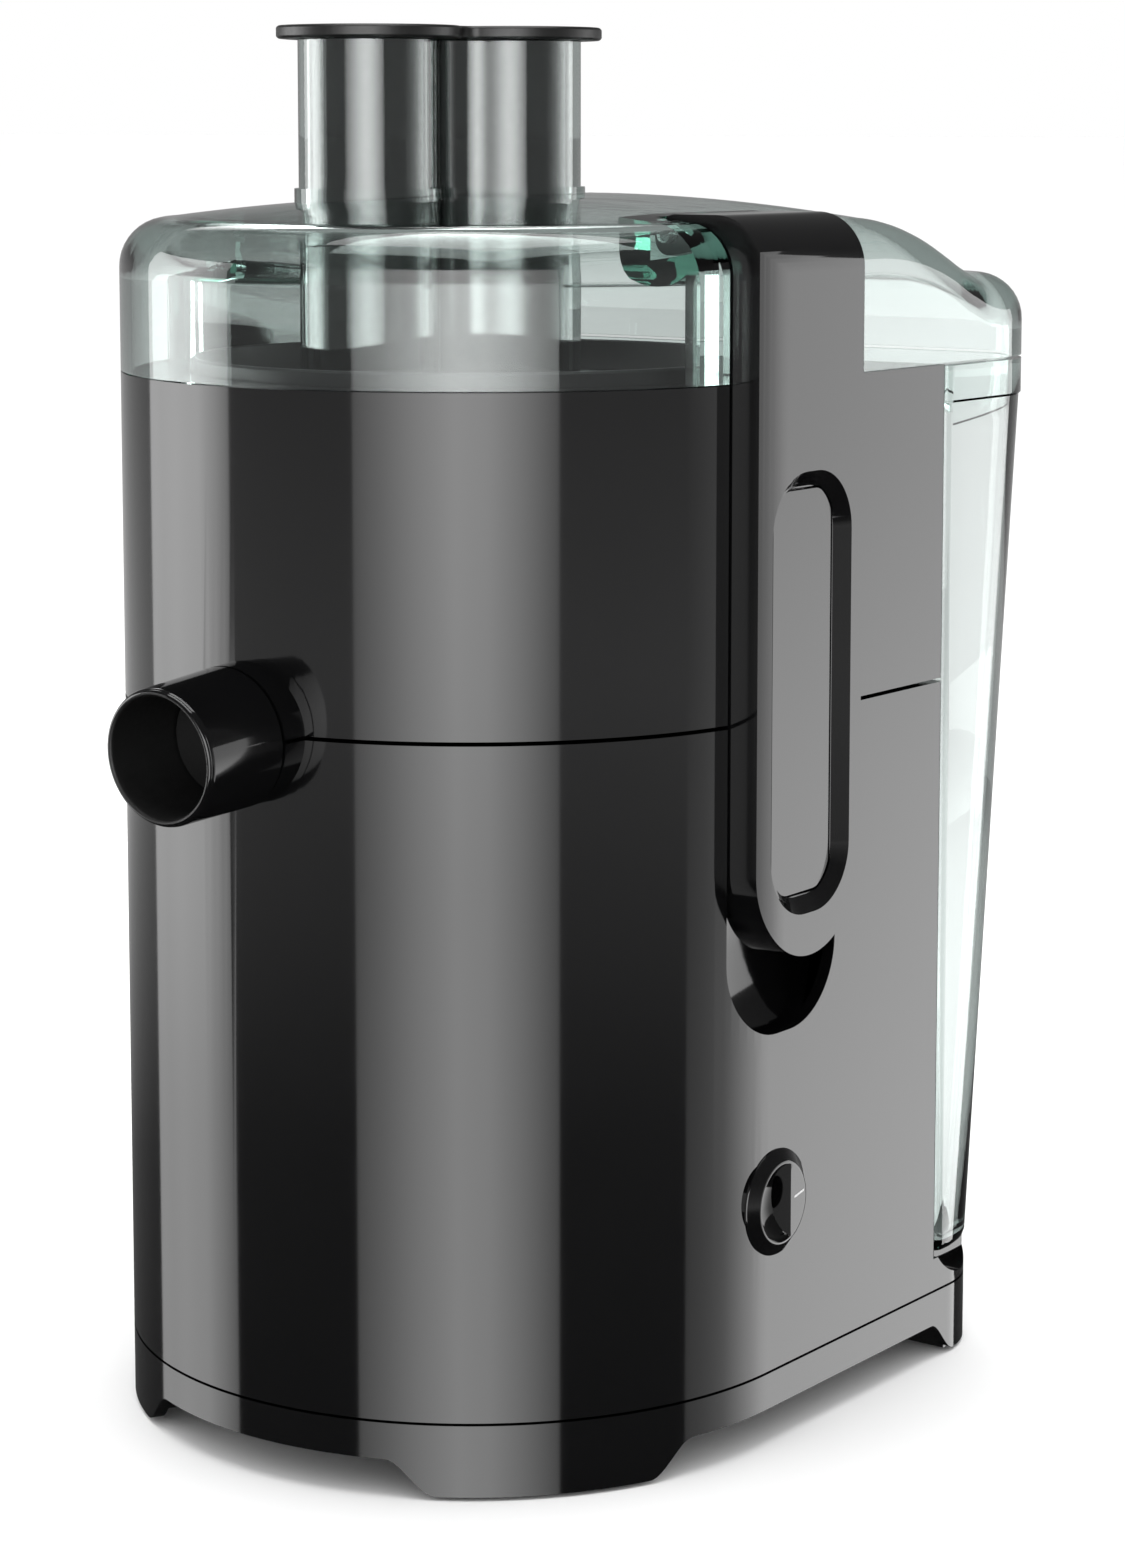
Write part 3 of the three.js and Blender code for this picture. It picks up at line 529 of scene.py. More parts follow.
def lid_form(name, inset, low, tiers=18):
    """Lid's outer form, or its cavity when inset by the wall."""
    depths = [SHOULDER_R * (1 - math.cos(math.radians(angle))) for angle in range(0, 91, 9)]
    depths += [SHOULDER_R + (BODY_R - SHOULDER_R) * i / tiers for i in range(1, tiers + 1)]
    plan = lambda depth: body_plan(depth, LID_BACK, REAR_CORNER, nose=72, side=48, bend=12)
    rings = [at_height(plan(inset), low)]
    for depth in depths:
        outline = plan(min(inset + depth * (BODY_R - inset) / BODY_R, BODY_R))
        rings.append([(x, y, lid_height(y, depth, inset)) for x, y in outline])
    count = len(rings[0])
    verts = [point for ring in rings for point in ring]
    faces = [tuple(reversed(range(count)))]
    for level in range(len(rings) - 1):
        a, b = level * count, (level + 1) * count
        faces += [(a + i, a + (i + 1) % count, b + (i + 1) % count, b + i) for i in range(count)]
    return to_object(name, verts, faces)


def hinge_mount(low):
    """Thick part of the lid round an arm's channel and pin, kept within the lid's form."""
    front = ARM_MID_Y - FRONT_WALL_HALF
    rear = ARM_MID_Y + BACKING_HALF
    block = join(
        channel_backing(low, LID_SHOULDER - 8, BODY_R - CHANNEL_X + WALL),
        box("front_wall", (BODY_R - 9, front, low), (BODY_R, ARM_MID_Y - ARM_HALF, CHANNEL_TOP)),
        box("hinge_block", (PIN_X - 8, ARM_MID_Y - BACKING_HALF, CHANNEL_TOP - WALL),
            (BODY_R, rear, LID_CROWN)),
        cross_prism("hinge_boss", arc(PIN_X, PIN_Z - 1, 10, 0, 350, 35), front, rear))
    return common(block, lid_form("lid_limit", 0.02, low))


def make_lid():
    low = LID_SEAM + SEAM_GAP / 2
    shell = cut(lid_form("feed_lid_fine", 0, low), lid_form("lid_room", WALL, low - 5))
    block = hinge_mount(low)
    pin_way = cross_prism("pin_way", arc(PIN_X, PIN_Z, 1.8, 0, 345, 23), -17.6, 29.6)
    join(shell, *both_sides(block), prism("chute", kidney(CHUTE_HALF), CHUTE_LOW, CHUTE_TOP),
         prism("chute_bead", kidney(CHUTE_HALF + 1.0), LID_CROWN - 2, LID_CROWN + 1.6))
    return cut(shell, *both_sides(channel_tool()), *both_sides(pin_way),
               prism("chute_way", kidney(CHUTE_HALF - CHUTE_WALL), CHUTE_LOW - 6, CHUTE_TOP + 5))


def make_pusher():
    """Hollow kidney with a floor and a round-edged flange."""
    low, rim = CHUTE_TOP + 0.3, [(0.6, 0.0), (0.18, 0.18), (0.0, 0.6)]
    thick = PUSHER_TOP - low
    edge = rim + [(inset, thick - rise) for inset, rise in reversed(rim)]
    flange = loft("flange", [at_height(kidney(FLANGE_HALF - inset), low + rise) for inset, rise in edge])
    body = join(prism("food_pusher_fine", kidney(PUSHER_HALF), PUSHER_LOW, CHUTE_TOP + 2), flange)
    room = prism("pusher_room", kidney(PUSHER_HALF - PUSHER_WALL), PUSHER_LOW + 2.5, PUSHER_TOP + 5)
    return cut(body, room)


# ---------- pieces: arms ----------
def recess_outline(inset, squarer=0.0):
    corner = RECESS_CORNER - inset - squarer
    return slot_outline(RECESS_HALF - inset, RECESS_LOW + inset, RECESS_HIGH - inset, corner)


def inlay(name, grow, back):
    """Panel let into the arm's recess; grow makes the pocket that it sits in."""
    outline = recess_outline(RECESS_BEVEL + 0.6 - grow, 3.0)
    return side_prism(name, outline, back, ARM_FACE - RECESS_DEPTH + grow)


def arm_crown(front):
    """Keeps the arm's face flat behind ARM_CROWN_Y and rounds it off in front of that."""
    rows = [front - 1 + i for i in range(int(ARM_CROWN_Y - front) + 2)]
    rounded = [(ARM_FACE - (ARM_CROWN_Y - y) ** 2 / (2 * ARM_CROWN_R), y) for y in rows]
    return prism("crown", [(50, -20), *rounded, (ARM_FACE, 40), (50, 40)], 90, 290)


def make_arm():
    front, rear = ARM_MID_Y - ARM_HALF, ARM_MID_Y + ARM_HALF
    profile = [
        (ARM_FACE, ARM_BOTTOM - 1), *arc(ARM_FACE - ARM_TOP_R, ARM_TOP - ARM_TOP_R, ARM_TOP_R, 0, 90, 20),
        *arc(PIN_X, PIN_Z, ARM_TOP - PIN_Z, 90, 270, 24),
        *arc(ARM_BACK - ARM_INNER_R, ARM_UNDER - ARM_INNER_R, ARM_INNER_R, 90, 0, 10),
        (ARM_BACK, ARM_BOTTOM - 1),
    ]
    outline = [(rear, ARM_TOP + 5), (front, ARM_TOP + 5),
               *arc(ARM_MID_Y, ARM_BOTTOM + ARM_HALF, ARM_HALF, 180, 360, 64)]
    arm = common(cross_prism("locking_arm_right_fine", profile, front, rear),
                 side_prism("arm_outline", outline, 50, ARM_FACE + 5), arm_crown(front))
    sections = ((RECESS_BEVEL, ARM_FACE - RECESS_DEPTH), (0, ARM_FACE), (-1, ARM_FACE + 1))
    rings = [[(x, y, z) for y, z in recess_outline(inset)] for inset, x in sections]
    pin_way = cross_prism("pin_way", arc(PIN_X, PIN_Z, 1.85, 0, 345, 23), -20, 35)
    return cut(arm, loft("recess", rings), pin_way, inlay("inlay_way", 0.3, ARM_FACE - RECESS_DEPTH - 1.5))


# ---------- pieces: container, knob, bottom ----------
def make_container():
    """Open bin that flares to the back, with a step in the wall under its rim."""
    low, top = SHELF_Z + 0.5, LID_SEAM - 0.6
    slope = (LID_BACK - BASE_BACK) / (CONTAINER_RIM + 1 - low)
    back = lambda z: min(BASE_BACK + slope * (z - low), LID_BACK)
    level = lambda inset, z: at_height(container_plan(inset, back(z)), z)
    outer = loft("pulp_container_fine", [
        level(2.2, low), level(1.1, low + 0.35), level(0.35, low + 1.1), level(0, low + 2.2),
        level(0.5, CONTAINER_RIM + 0.2), level(0.5, CONTAINER_RIM + 0.8), level(0, CONTAINER_RIM + 1.4),
        level(0, top)])
    inner = loft("container_room", [
        level(WALL + 2.4, low + 2.2), level(WALL + 0.6, low + 2.8), level(WALL - 0.3, low + 4.6),
        level(WALL - 0.3, CONTAINER_RIM - 1.5), level(WALL + 0.8, CONTAINER_RIM + 0.5),
        level(WALL + 0.8, top + 3)])
    return cut(outer, inner)


def make_knob():
    """Flanged knob with a bevelled rim; half of its face is sunk and half is the grip."""
    face, wall, place = span("speed_knob")[1].x, BODY_R + 0.3, towards_side(KNOB_Y, KNOB_Z)
    profile = [
        (0, 69), (KNOB_SHAFT, 69), (KNOB_SHAFT, wall), (KNOB_NECK, wall), (KNOB_NECK, face - 4.2),
        (KNOB_NECK + 0.8, face - 3.1), (KNOB_RIM - 0.6, face - 2.7), (KNOB_RIM - 0.1, face - 2.4),
        (KNOB_RIM, face - 1.9), (KNOB_RIM - 0.15, face - 1.6), (9.3, face - 0.12), (9.0, face - 0.02),
        (8.7, face), (0, face),
    ]
    knob = turned("speed_knob_fine", profile, 96, place)
    dish = ellipsoid("dish", (face + 0.6, KNOB_Y, KNOB_Z), (6.2, 8.7, 8.7))
    half = box("dish_half", (70, KNOB_Y - 12, KNOB_Z - 12), (95, KNOB_Y + 3.0, KNOB_Z + 12))
    return cut(knob, common(dish, half))


def make_tick():
    """White mark on the grip half of the knob."""
    face = span("speed_knob")[1].x
    outline = [(KNOB_Y + y, KNOB_Z + z) for y, z in ((4.4, 0.1), (8.2, 0.9), (8.15, 1.35), (4.35, 0.55))]
    return side_prism("speed_knob_tick", outline, face - 0.4, face + 0.05)


def leg_drop(x, y, corner_y, front=8.0, rear=10.0):
    """How far down the skirt reaches at a point of the plan: 0 between the legs, 1 on a leg."""
    if y < 10:
        off_nose = abs(math.degrees(math.atan2(x, -y)))
        return (smooth_step((off_nose - LEG_FROM + front) / front)
                * smooth_step((LEG_TO + front - off_nose) / front))
    return smooth_step((y - corner_y + rear) / rear)


def upright_disc(name, place, radius, low, high, steps=48):
    x0, y0 = place
    return disc(name, radius, low, high, steps, lambda x, y, z: (x0 + x, y0 + y, z))


def centre_of(node):
    """Middle of a CAD node in plan, from the motor axis."""
    low, high = span(node)
    return (low.x + high.x) / 2, (low.y + high.y) / 2 - AXIS_Y


PADS = [f"foot_pad_{i}" for i in range(1, 5)]
SCREWS = [f"base_screw_{i}" for i in range(1, 5)]


def make_skirt():
    """Wall of the bottom cover, lower at the four legs."""
    plan = lambda inset: body_plan(inset, BASE_BACK, REAR_CORNER, nose=220, side=64, bend=24)
    outer, inner = plan(0), plan(BASE_WALL)
    low = [SKIRT_Z + (LEG_Z - SKIRT_Z) * leg_drop(x, y, BASE_BACK - 22) for x, y in outer]
    rings = [at_height(outer, BOTTOM_SEAM), [(x, y, z) for (x, y), z in zip(outer, low)],
             [(x, y, z) for (x, y), z in zip(inner, low)], at_height(inner, BOTTOM_SEAM)]
    return loft("bottom_cover_fine", rings, closed=True)


def make_legs(side):
    """Solid front and rear leg of one side."""
    start, end = 270 + side * (LEG_FROM + 3), 270 + side * (LEG_TO - 3)
    outer, inner = [arc(0, 0, r, start, end, 16) for r in (BODY_R - LEG_INSET, BODY_R - LEG_DEPTH)]
    front = prism("front_leg", outer + inner[::-1], LEG_Z, SKIRT_Z + 1)
    near, far = sorted((side * 58, side * 90))
    plan = body_plan(LEG_INSET, BASE_BACK, REAR_CORNER)
    rear = common(prism("rear_leg", plan, LEG_Z, SKIRT_Z + 1),
                  box("corner", (near, BASE_BACK - REAR_LEG, 0), (far, 120, 20)))
    return front, rear


def make_bottom_cover():
    """Tray with a skirt that runs down into four legs, motor vents and screw holes."""
    cover = make_skirt()
    plan = body_plan(BASE_WALL - 0.5, BASE_BACK, REAR_CORNER)
    join(cover, prism("plate", plan, SKIRT_Z + 0.1, SKIRT_Z + PLATE))
    for side in (-1, 1):
        join(cover, *make_legs(side))
    for node in SCREWS:
        join(cover, upright_disc("boss", centre_of(node), SCREW_BOSS, SKIRT_Z + 1, BOTTOM_SEAM))
    for node in SCREWS:
        cut(cover, upright_disc("way", centre_of(node), SCREW_WAY, 0, 30),
            upright_disc("sink", centre_of(node), SCREW_SINK, 0, SKIRT_Z + 2))
    for node in PADS:
        cut(cover, upright_disc("pocket", centre_of(node), PAD_POCKET, 0, LEG_Z + 2.4))
    for y in (-16, -8, 0, 8, 16):
        cut(cover, box("vent", (-22, y - 1.8, 5), (22, y + 1.8, 14)))
    return cover


def make_pad(node):
    """Rubber pad with a shallow hollow underneath."""
    x0, y0 = centre_of(node)
    top = span(node)[1].z
    profile = [(0, 0.25), (4.6, 0.25), (4.9, 0), (6.1, 0), (6.4, 0.12), (6.5, 0.4), (6.5, top), (0, top)]
    return turned(node + "_fine", profile, 48, lambda x, y, z: (x0 + x, y0 + y, z))


def make_screw(node):
    """Cross-slotted bottom screw."""
    x0, y0 = centre_of(node)
    low, high = span(node)
    head = 2.0
    profile = [(0, low.z), (2.2, low.z), (3.0, low.z + 0.5), (3.3, low.z + 1.2), (3.3, low.z + head),
               (1.7, low.z + head), (1.7, high.z - 1.5), (0, high.z)]
    screw = turned(node + "_fine", profile, 32, lambda x, y, z: (x0 + x, y0 + y, z))
    for half_x, half_y in ((1.9, 0.35), (0.35, 1.9)):
        slot = box("slot", (x0 - half_x, y0 - half_y, low.z - 1), (x0 + half_x, y0 + half_y, low.z + 1.1))
        cut(screw, slot)
    return screw


# ---------- pieces: basket ----------
def make_strainer(columns=132, rows=13, thick=1.1):
    """Cone of sheet steel pierced with rows of holes."""
    low_r, high_r, low_z, high_z = 46.2, 60.8, GRATER_Z, BASKET_TOP - 7.3
    rim_low, rim_high, hole = 0.06, 0.95, 0.27
    pitch = (rim_high - rim_low) / rows
    cell = [(-0.5, -0.5), (0, -0.5), (0.5, -0.5), (0.5, 0), (0.5, 0.5), (0, 0.5), (-0.5, 0.5), (-0.5, 0)]
    sides = len(cell)
    ring = [(x * hole / math.hypot(x, y), y * hole / math.hypot(x, y)) for x, y in cell]
    verts, faces = [], []

    def point(u, v, out):
        r, angle = low_r + (high_r - low_r) * v + out, math.tau * u / columns
        return r * math.cos(angle), r * math.sin(angle), low_z + (high_z - low_z) * v

    def add_cell(column, middle):
        start = len(verts)
        for out in (0, thick):
            verts.extend(point(column + x, middle + y * pitch, out) for x, y in cell + ring)
        for i in range(sides):
            j = (i + 1) % sides
            inside = [start + k for k in (i, j, sides + j, sides + i)]
            faces.extend([inside, [k + 2 * sides for k in reversed(inside)]])
            faces.append([start + k for k in (sides + i, sides + j, 3 * sides + j, 3 * sides + i)])

    def add_border(u, edge, border):
        start = len(verts)
        patch = ((0, edge), (0.5, edge), (0.5, border), (0, border))
        for out in (0, thick):
            verts.extend(point(u + x, v, out) for x, v in patch)
        for corners in ((0, 1, 2, 3), (7, 6, 5, 4), (2, 3, 7, 6)):
            faces.append([start + k for k in corners])

    for row in range(rows):
        for column in range(columns):
            add_cell(column, rim_low + (row + 0.5) * pitch)
    for edge, border in ((rim_low, 0), (rim_high, 1)):
        for half_column in range(2 * columns):
            add_border((half_column - 1) / 2, edge, border)
    return to_object("strainer_mesh_fine", verts, faces)


def make_strainer_rim():
    low = BASKET_TOP - 7
    profile = [(60.6, low), (64.0, low), (64.4, low + 0.4), (64.4, BASKET_TOP - 0.5), (64.0, BASKET_TOP),
               (63.2, BASKET_TOP), (62.9, BASKET_TOP - 0.3), (62.2, BASKET_TOP - 4)]
    return turned("strainer_rim_fine", profile, 144)


def make_grater():
    """Flat disc with rings of small hooked teeth standing on it."""
    top = GRATER_Z + 1.6
    profile = [(5.4, GRATER_Z), (45.8, GRATER_Z), (45.8, top - 0.2), (45.6, top), (5.4, top)]
    grater, teeth = turned("grater_disc_fine", profile, 96), []
    base = [(-0.9, -0.8), (0.9, -0.8), (0.9, 0.8), (-0.9, 0.8)]
    tip = [(-0.25, -1.0), (0.25, -1.0), (0.25, -0.6), (-0.25, -0.6)]
    for row, radius in enumerate(range(12, 43, 5)):
        count = 10 + 5 * row
        for i in range(count):
            angle = math.tau * (i + row / 3) / count
            cos, sin = math.cos(angle), math.sin(angle)
            place = lambda x, y, z: ((radius + x) * cos - y * sin, (radius + x) * sin + y * cos, z)
            teeth.append(loft("tooth", [[place(x, y, top - 0.3) for x, y in base],
                                        [place(x, y, top + 1.3) for x, y in tip]]))
    return merge(grater, teeth)


def merge(target, pieces):
    """Adds closed meshes to a piece without cutting them together."""
    bm = bmesh.new()
    bm.from_mesh(target.data)
    for piece in pieces:
        bm.from_mesh(piece.data)
    bm.to_mesh(target.data)
    bm.free()
    for piece in pieces:
        bpy.data.objects.remove(piece)
    return target


def make_hub():
    """Boss that carries the grater, hollow below for the drive coupling."""
    under = GRATER_Z - 0.3
    profile = [(0, 194.7), (10, 194.7), (10, 187.4), (10.4, 187), (14.0, 187), (14.4, 187.4), (14.4, under),
               (5, under), (5, 200.6), (4.6, 201.4), (3.6, 202.1), (2, 202.4), (0, 202.4)]
    return turned("basket_hub_fine", profile, 64)


def make_pin(node):
    """Pin with chamfered ends, along Y."""
    low, high = span(node)
    x0, z0 = (low.x + high.x) / 2, (low.z + high.z) / 2
    middle = (low.y + high.y) / 2 - AXIS_Y
    half, r = (high.y - low.y) / 2, (high.x - low.x) / 2
    profile = [(0, -half), (r - 0.3, -half), (r, 0.3 - half), (r, half - 0.3), (r - 0.3, half), (0, half)]
    return turned(node + "_fine", profile, 32, lambda x, y, z: (x0 + x, middle + z, z0 + y))


def make_gland():
    """Rubber gland in the left wall, with a lip on each side of it."""
    outside = span("cord_gland")[0].x
    inside = BASE_WALL - BODY_R
    profile = [
        (3.2, outside), (6.5, outside), (7, outside + 0.5), (7, -BODY_R - 0.3), (5, -BODY_R - 0.3),
        (5, inside + 0.3), (6.6, inside + 0.3), (6.6, inside + 2), (3.2, inside + 2),
    ]
    return turned("cord_gland_fine", profile, 48, towards_side(GLAND_Y, GLAND_Z))


# ---------- materials ----------
def material(name, **sockets):
    """Principled material with uniform values on the shader's own sockets."""
    made = bpy.data.materials.new(name)
    made.use_nodes = True
    shader = made.node_tree.nodes["Principled BSDF"]
    for socket, value in sockets.items():
        shader.inputs[socket.replace("_", " ")].default_value = value
    return made


def map_range(nodes, links, value, before, after):
    made = nodes.new("ShaderNodeMapRange")
    made.inputs["From Min"].default_value, made.inputs["From Max"].default_value = before
    made.inputs["To Min"].default_value, made.inputs["To Max"].default_value = after
    links.new(value, made.inputs["Value"])
    return made.outputs["Result"]


def mix(nodes, links, factor, first, second, first_value=0.0):
    """Blend of two numbers; each may be a socket or, where None, a plain number."""
    made = nodes.new("ShaderNodeMix")
    links.new(factor, made.inputs["Factor"])
    if first is None:
        made.inputs["A"].default_value = first_value
    else:
        links.new(first, made.inputs["A"])
    if second is not None:
        made.inputs["B"].default_value = second
    return made.outputs["Result"]


def grained(made, scale, rough, bump=0.0, depth=0.0002, wave=False):
    """Fine grain: a noise or, for wound and stacked metal, a banded texture.

    scale stretches it along X, Y and Z; rough is the range of roughness; bump its strength.
    """
    nodes, links = made.node_tree.nodes, made.node_tree.links
    shader = nodes["Principled BSDF"]
    place, mapping = nodes.new("ShaderNodeTexCoord"), nodes.new("ShaderNodeMapping")
    mapping.inputs["Scale"].default_value = scale
    links.new(place.outputs["Object"], mapping.inputs["Vector"])
    grain = nodes.new("ShaderNodeTexWave" if wave else "ShaderNodeTexNoise")
    grain.inputs["Scale"].default_value = 1.0
    grain.inputs["Detail"].default_value = 4.0
    if wave:
        grain.bands_direction = "Z"
    links.new(mapping.outputs["Vector"], grain.inputs["Vector"])
    links.new(map_range(nodes, links, grain.outputs["Fac"], (0.3, 0.7), rough), shader.inputs["Roughness"])
    if bump:
        relief = nodes.new("ShaderNodeBump")
        relief.inputs["Strength"].default_value = bump
        relief.inputs["Distance"].default_value = depth
        links.new(grain.outputs["Fac"], relief.inputs["Height"])
        links.new(relief.outputs["Normal"], shader.inputs["Normal"])
    return made


def toned(made, scale, dark, light):
    """Base colour that drifts softly between two tones."""
    nodes, links = made.node_tree.nodes, made.node_tree.links
    place, tone = nodes.new("ShaderNodeTexCoord"), nodes.new("ShaderNodeTexNoise")
    blend = nodes.new("ShaderNodeValToRGB")
    tone.inputs["Scale"].default_value = scale
    links.new(place.outputs["Object"], tone.inputs["Vector"])
    links.new(tone.outputs["Fac"], blend.inputs["Fac"])
    for element, at, color in zip(blend.color_ramp.elements, (0.35, 0.65), (dark, light)):
        element.position = at
        element.color = (*color, 1)
    links.new(blend.outputs["Color"], nodes["Principled BSDF"].inputs["Base Color"])
    return made


def clear_plastic():
    made = material("clear_green_plastic", Base_Color=(1, 1, 1, 1), Roughness=0.0, IOR=1.49,
                    Transmission_Weight=1.0, Specular_IOR_Level=0.2)
    nodes, links = made.node_tree.nodes, made.node_tree.links
    volume = nodes.new("ShaderNodeVolumeAbsorption")
    volume.inputs["Color"].default_value = (0.35, 0.8, 0.68, 1)
    volume.inputs["Density"].default_value = 45
    links.new(volume.outputs["Volume"], nodes["Material Output"].inputs["Volume"])
    return grained(made, (70, 70, 3), (0.0, 0.012), 0.12, 0.0004)


def moulding(name, color, rough, scale=300, bump=0.0, level=0.5):
    """Moulded plastic or rubber with a fine grain and a slight drift in tone."""
    made = grained(material(name, IOR=1.5, Specular_IOR_Level=level), (scale, scale, scale), rough, bump)
    return toned(made, 25, [0.9 * c for c in color], [1.1 * c for c in color])


def metal(name, color, rough, scale, bump, wave=False):
    made = grained(material(name, Metallic=1.0), scale, rough, bump, 0.0001, wave)
    return toned(made, 40, [0.85 * c for c in color], [1.1 * c for c in color])


LOOKS = {
    "gloss_black": moulding("gloss_black_moulding", (0.003, 0.003, 0.0032), (0.064, 0.078), 140),
    "satin_black": moulding("satin_black_moulding", (0.012, 0.012, 0.013), (0.36, 0.44), 900, 0.15),
    "bore": moulding("satin_black_bore", (0.003, 0.003, 0.003), (0.5, 0.6), 900, 0.1),
    "clear_lid": clear_plastic(),
    "smoke_grey": moulding("smoke_grey_moulding", (0.018, 0.0195, 0.0195), (0.09, 0.12), 140, level=0.3),
    "smoke_satin": moulding("satin_smoke_moulding", (0.006, 0.006, 0.006), (0.36, 0.42), 900, 0.1),
    "steel": metal("brushed_steel", (0.6, 0.61, 0.62), (0.2, 0.36), (60, 60, 1600), 0.2),
    "rubber": moulding("moulded_rubber", (0.015, 0.015, 0.015), (0.7, 0.85), 1200, 0.3),
    "copper": metal("enamelled_copper", (0.55, 0.25, 0.12), (0.25, 0.4), (1, 1, 700), 0.6, True),
    "lamination": metal("steel_laminations", (0.3, 0.31, 0.32), (0.4, 0.6), (1, 1, 900), 0.7, True),
    "carbon": moulding("pressed_carbon", (0.02, 0.02, 0.02), (0.5, 0.7), 1500, 0.3),
    "nylon": moulding("moulded_nylon", (0.05, 0.055, 0.06), (0.42, 0.55), 700, 0.15),
}
SLOTS = {entry["node"]: entry["material_slot"] for entry in frame["record"]["subparts"]}
BODIES = {node: body for body, nodes in frame["record"]["behaviour"]["bodies"].items() for node in nodes}


def paint(obj, look):
    obj.data.materials.clear()
    obj.data.materials.append(look)


def stand_for(piece, node, look=None):
    """The piece shows in place of a CAD node: same body, same material slot."""
    paint(piece, look or LOOKS[SLOTS[node]])
    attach(piece, BODIES[node])
    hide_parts(node)


def darken(piece, radius):
    """Gives the faces in the spout's bore a satin finish, so that the bore reads dark."""
    piece.data.materials.append(LOOKS["bore"])
    for face in piece.data.polygons:
        x, y, z = (v / MM for v in face.center)
        forward = -y + AXIS_Y - BODY_R
        off_axis = math.hypot(x, z + forward * math.tan(math.radians(NOZZLE_TILT)) - BOWL_SEAM)
        if forward > -14 and off_axis < radius and faces_bore(face):
            face.material_index = 1


def faces_bore(face):
    """Whether a face lies within the tube or looks in towards the spout's axis."""
    radial = Vector((face.center.x, 0, face.center.z - BOWL_SEAM * MM))
    return radial.length < (NOZZLE_TUBE + 0.5) * MM or face.normal.dot(radial) < 0


# ---------- studio ----------
def softbox(name, across, upright, radius=2.6, steps=64):
    """Tall curved light panel about the juicer with smooth brightness.

    across lists (compass angle, radiance); upright lists (height in metres, share of the radiance).
    """
    columns = [across[0][0] + (across[-1][0] - across[0][0]) * i / steps for i in range(steps + 1)]
    rows = [upright[0][0] + (upright[-1][0] - upright[0][0]) * j / steps for j in range(steps + 1)]
    verts, glow, faces = [], [], []
    for angle in columns:
        x, y = radius * math.sin(math.radians(angle)), -radius * math.cos(math.radians(angle))
        verts += [(x, y, z) for z in rows]
        glow += [ramp(across, angle) * ramp(upright, z) for z in rows]
    for i in range(steps):
        for j in range(steps):
            a = i * (steps + 1) + j
            faces.append((a, a + steps + 1, a + steps + 2, a + 1))
    mesh = bpy.data.meshes.new(name)
    mesh.from_pydata(verts, [], faces)
    mesh.attributes.new("glow", "FLOAT", "POINT").data.foreach_set("value", glow)
    panel = bpy.data.objects.new(name, mesh)
    bpy.context.scene.collection.objects.link(panel)
    light = bpy.data.materials.new(name + "_glow")
    light.use_nodes = True
    nodes, links = light.node_tree.nodes, light.node_tree.links
    nodes.remove(nodes["Principled BSDF"])
    emission = nodes.new("ShaderNodeEmission")
    brightness = nodes.new("ShaderNodeAttribute")
    brightness.attribute_name = "glow"
    links.new(brightness.outputs["Fac"], emission.inputs["Strength"])
    links.new(emission.outputs[0], nodes["Material Output"].inputs["Surface"])
    mesh.materials.append(light)
    panel.visible_camera = False
    panel.visible_shadow = False
    panel.visible_diffuse = False


def ramp(points, at):
    """Value at a place along a list of (place, value) points."""
    if at <= points[0][0]:
        return points[0][1]
    for (a, low), (b, high) in zip(points, points[1:]):
        if at <= b:
            return low + (high - low) * (at - a) / (b - a)
    return points[-1][1]


def make_studio():
    softbox("panel_left", [(-89, 1.8), (-80, 2.3), (-72, 3.0), (-60, 3.6), (-52, 2.8), (-46, 1.8)],
            [(-1.4, 0.8), (-0.9, 0.9), (-0.6, 1.0), (-0.4, 1.25), (0, 1.45), (1.1, 1.5)])
    softbox("panel_front", [(-1, 1.4), (9, 2.5), (19, 3.8), (31, 5.1), (41, 4.7), (51, 3.3), (63, 1.4)],
            [(-1.4, 1.0), (-0.4, 1.03), (-0.2, 1.15), (0.1, 1.25), (1.1, 1.25)])
    softbox("panel_right",
            [(107, 0.7), (114, 0.9), (123, 1.35), (132, 2.5), (141, 3.6), (155, 3.9), (160, 3.9)],
            [(-1.4, 1.02), (-0.6, 1.0), (-0.3, 0.93), (0.0, 0.78), (0.3, 0.74), (0.62, 0.72)])
    softbox("panel_back", [(206, 0), (222, 4.0), (236, 3.5), (246, 0)],
            [(1.6, 0), (1.75, 1.0), (2.4, 1.0), (2.6, 0)])
    light = bpy.data.lights.new("top_softbox", "AREA")
    light.shape, light.size, light.size_y, light.energy = "RECTANGLE", 1.6, 1.6, 30
    lamp = bpy.data.objects.new("top_softbox", light)
    lamp.location = (0, 0, 2.2)
    lamp.visible_camera = False
    bpy.context.scene.collection.objects.link(lamp)

    mesh = bpy.data.meshes.new("floor")
    mesh.from_pydata([(-60, -60, 0), (60, -60, 0), (60, 60, 0), (-60, 60, 0)], [], [(0, 1, 2, 3)])
    floor = bpy.data.objects.new("floor", mesh)
    bpy.context.scene.collection.objects.link(floor)
    paint(floor, pale_floor_with_painted_shade())
    floor.visible_glossy = False
    make_world()


def pale_floor_with_painted_shade():
    """Matt pale floor whose colour is painted darker, a painted shade, where it is seen through clear
    plastic.
    """
    made = material("pale_floor_with_painted_shade", Roughness=1.0)
    nodes, links = made.node_tree.nodes, made.node_tree.links
    path = nodes.new("ShaderNodeLightPath")
    # painted shade: the base colour falls from 0.95 to 0.56 once a ray has passed through clear plastic
    tone = mix(nodes, links, map_range(nodes, links, path.outputs["Transmission Depth"], (0, 1), (0, 1)),
               None, 0.56, 0.95)
    links.new(tone, nodes["Principled BSDF"].inputs["Base Color"])
    return made


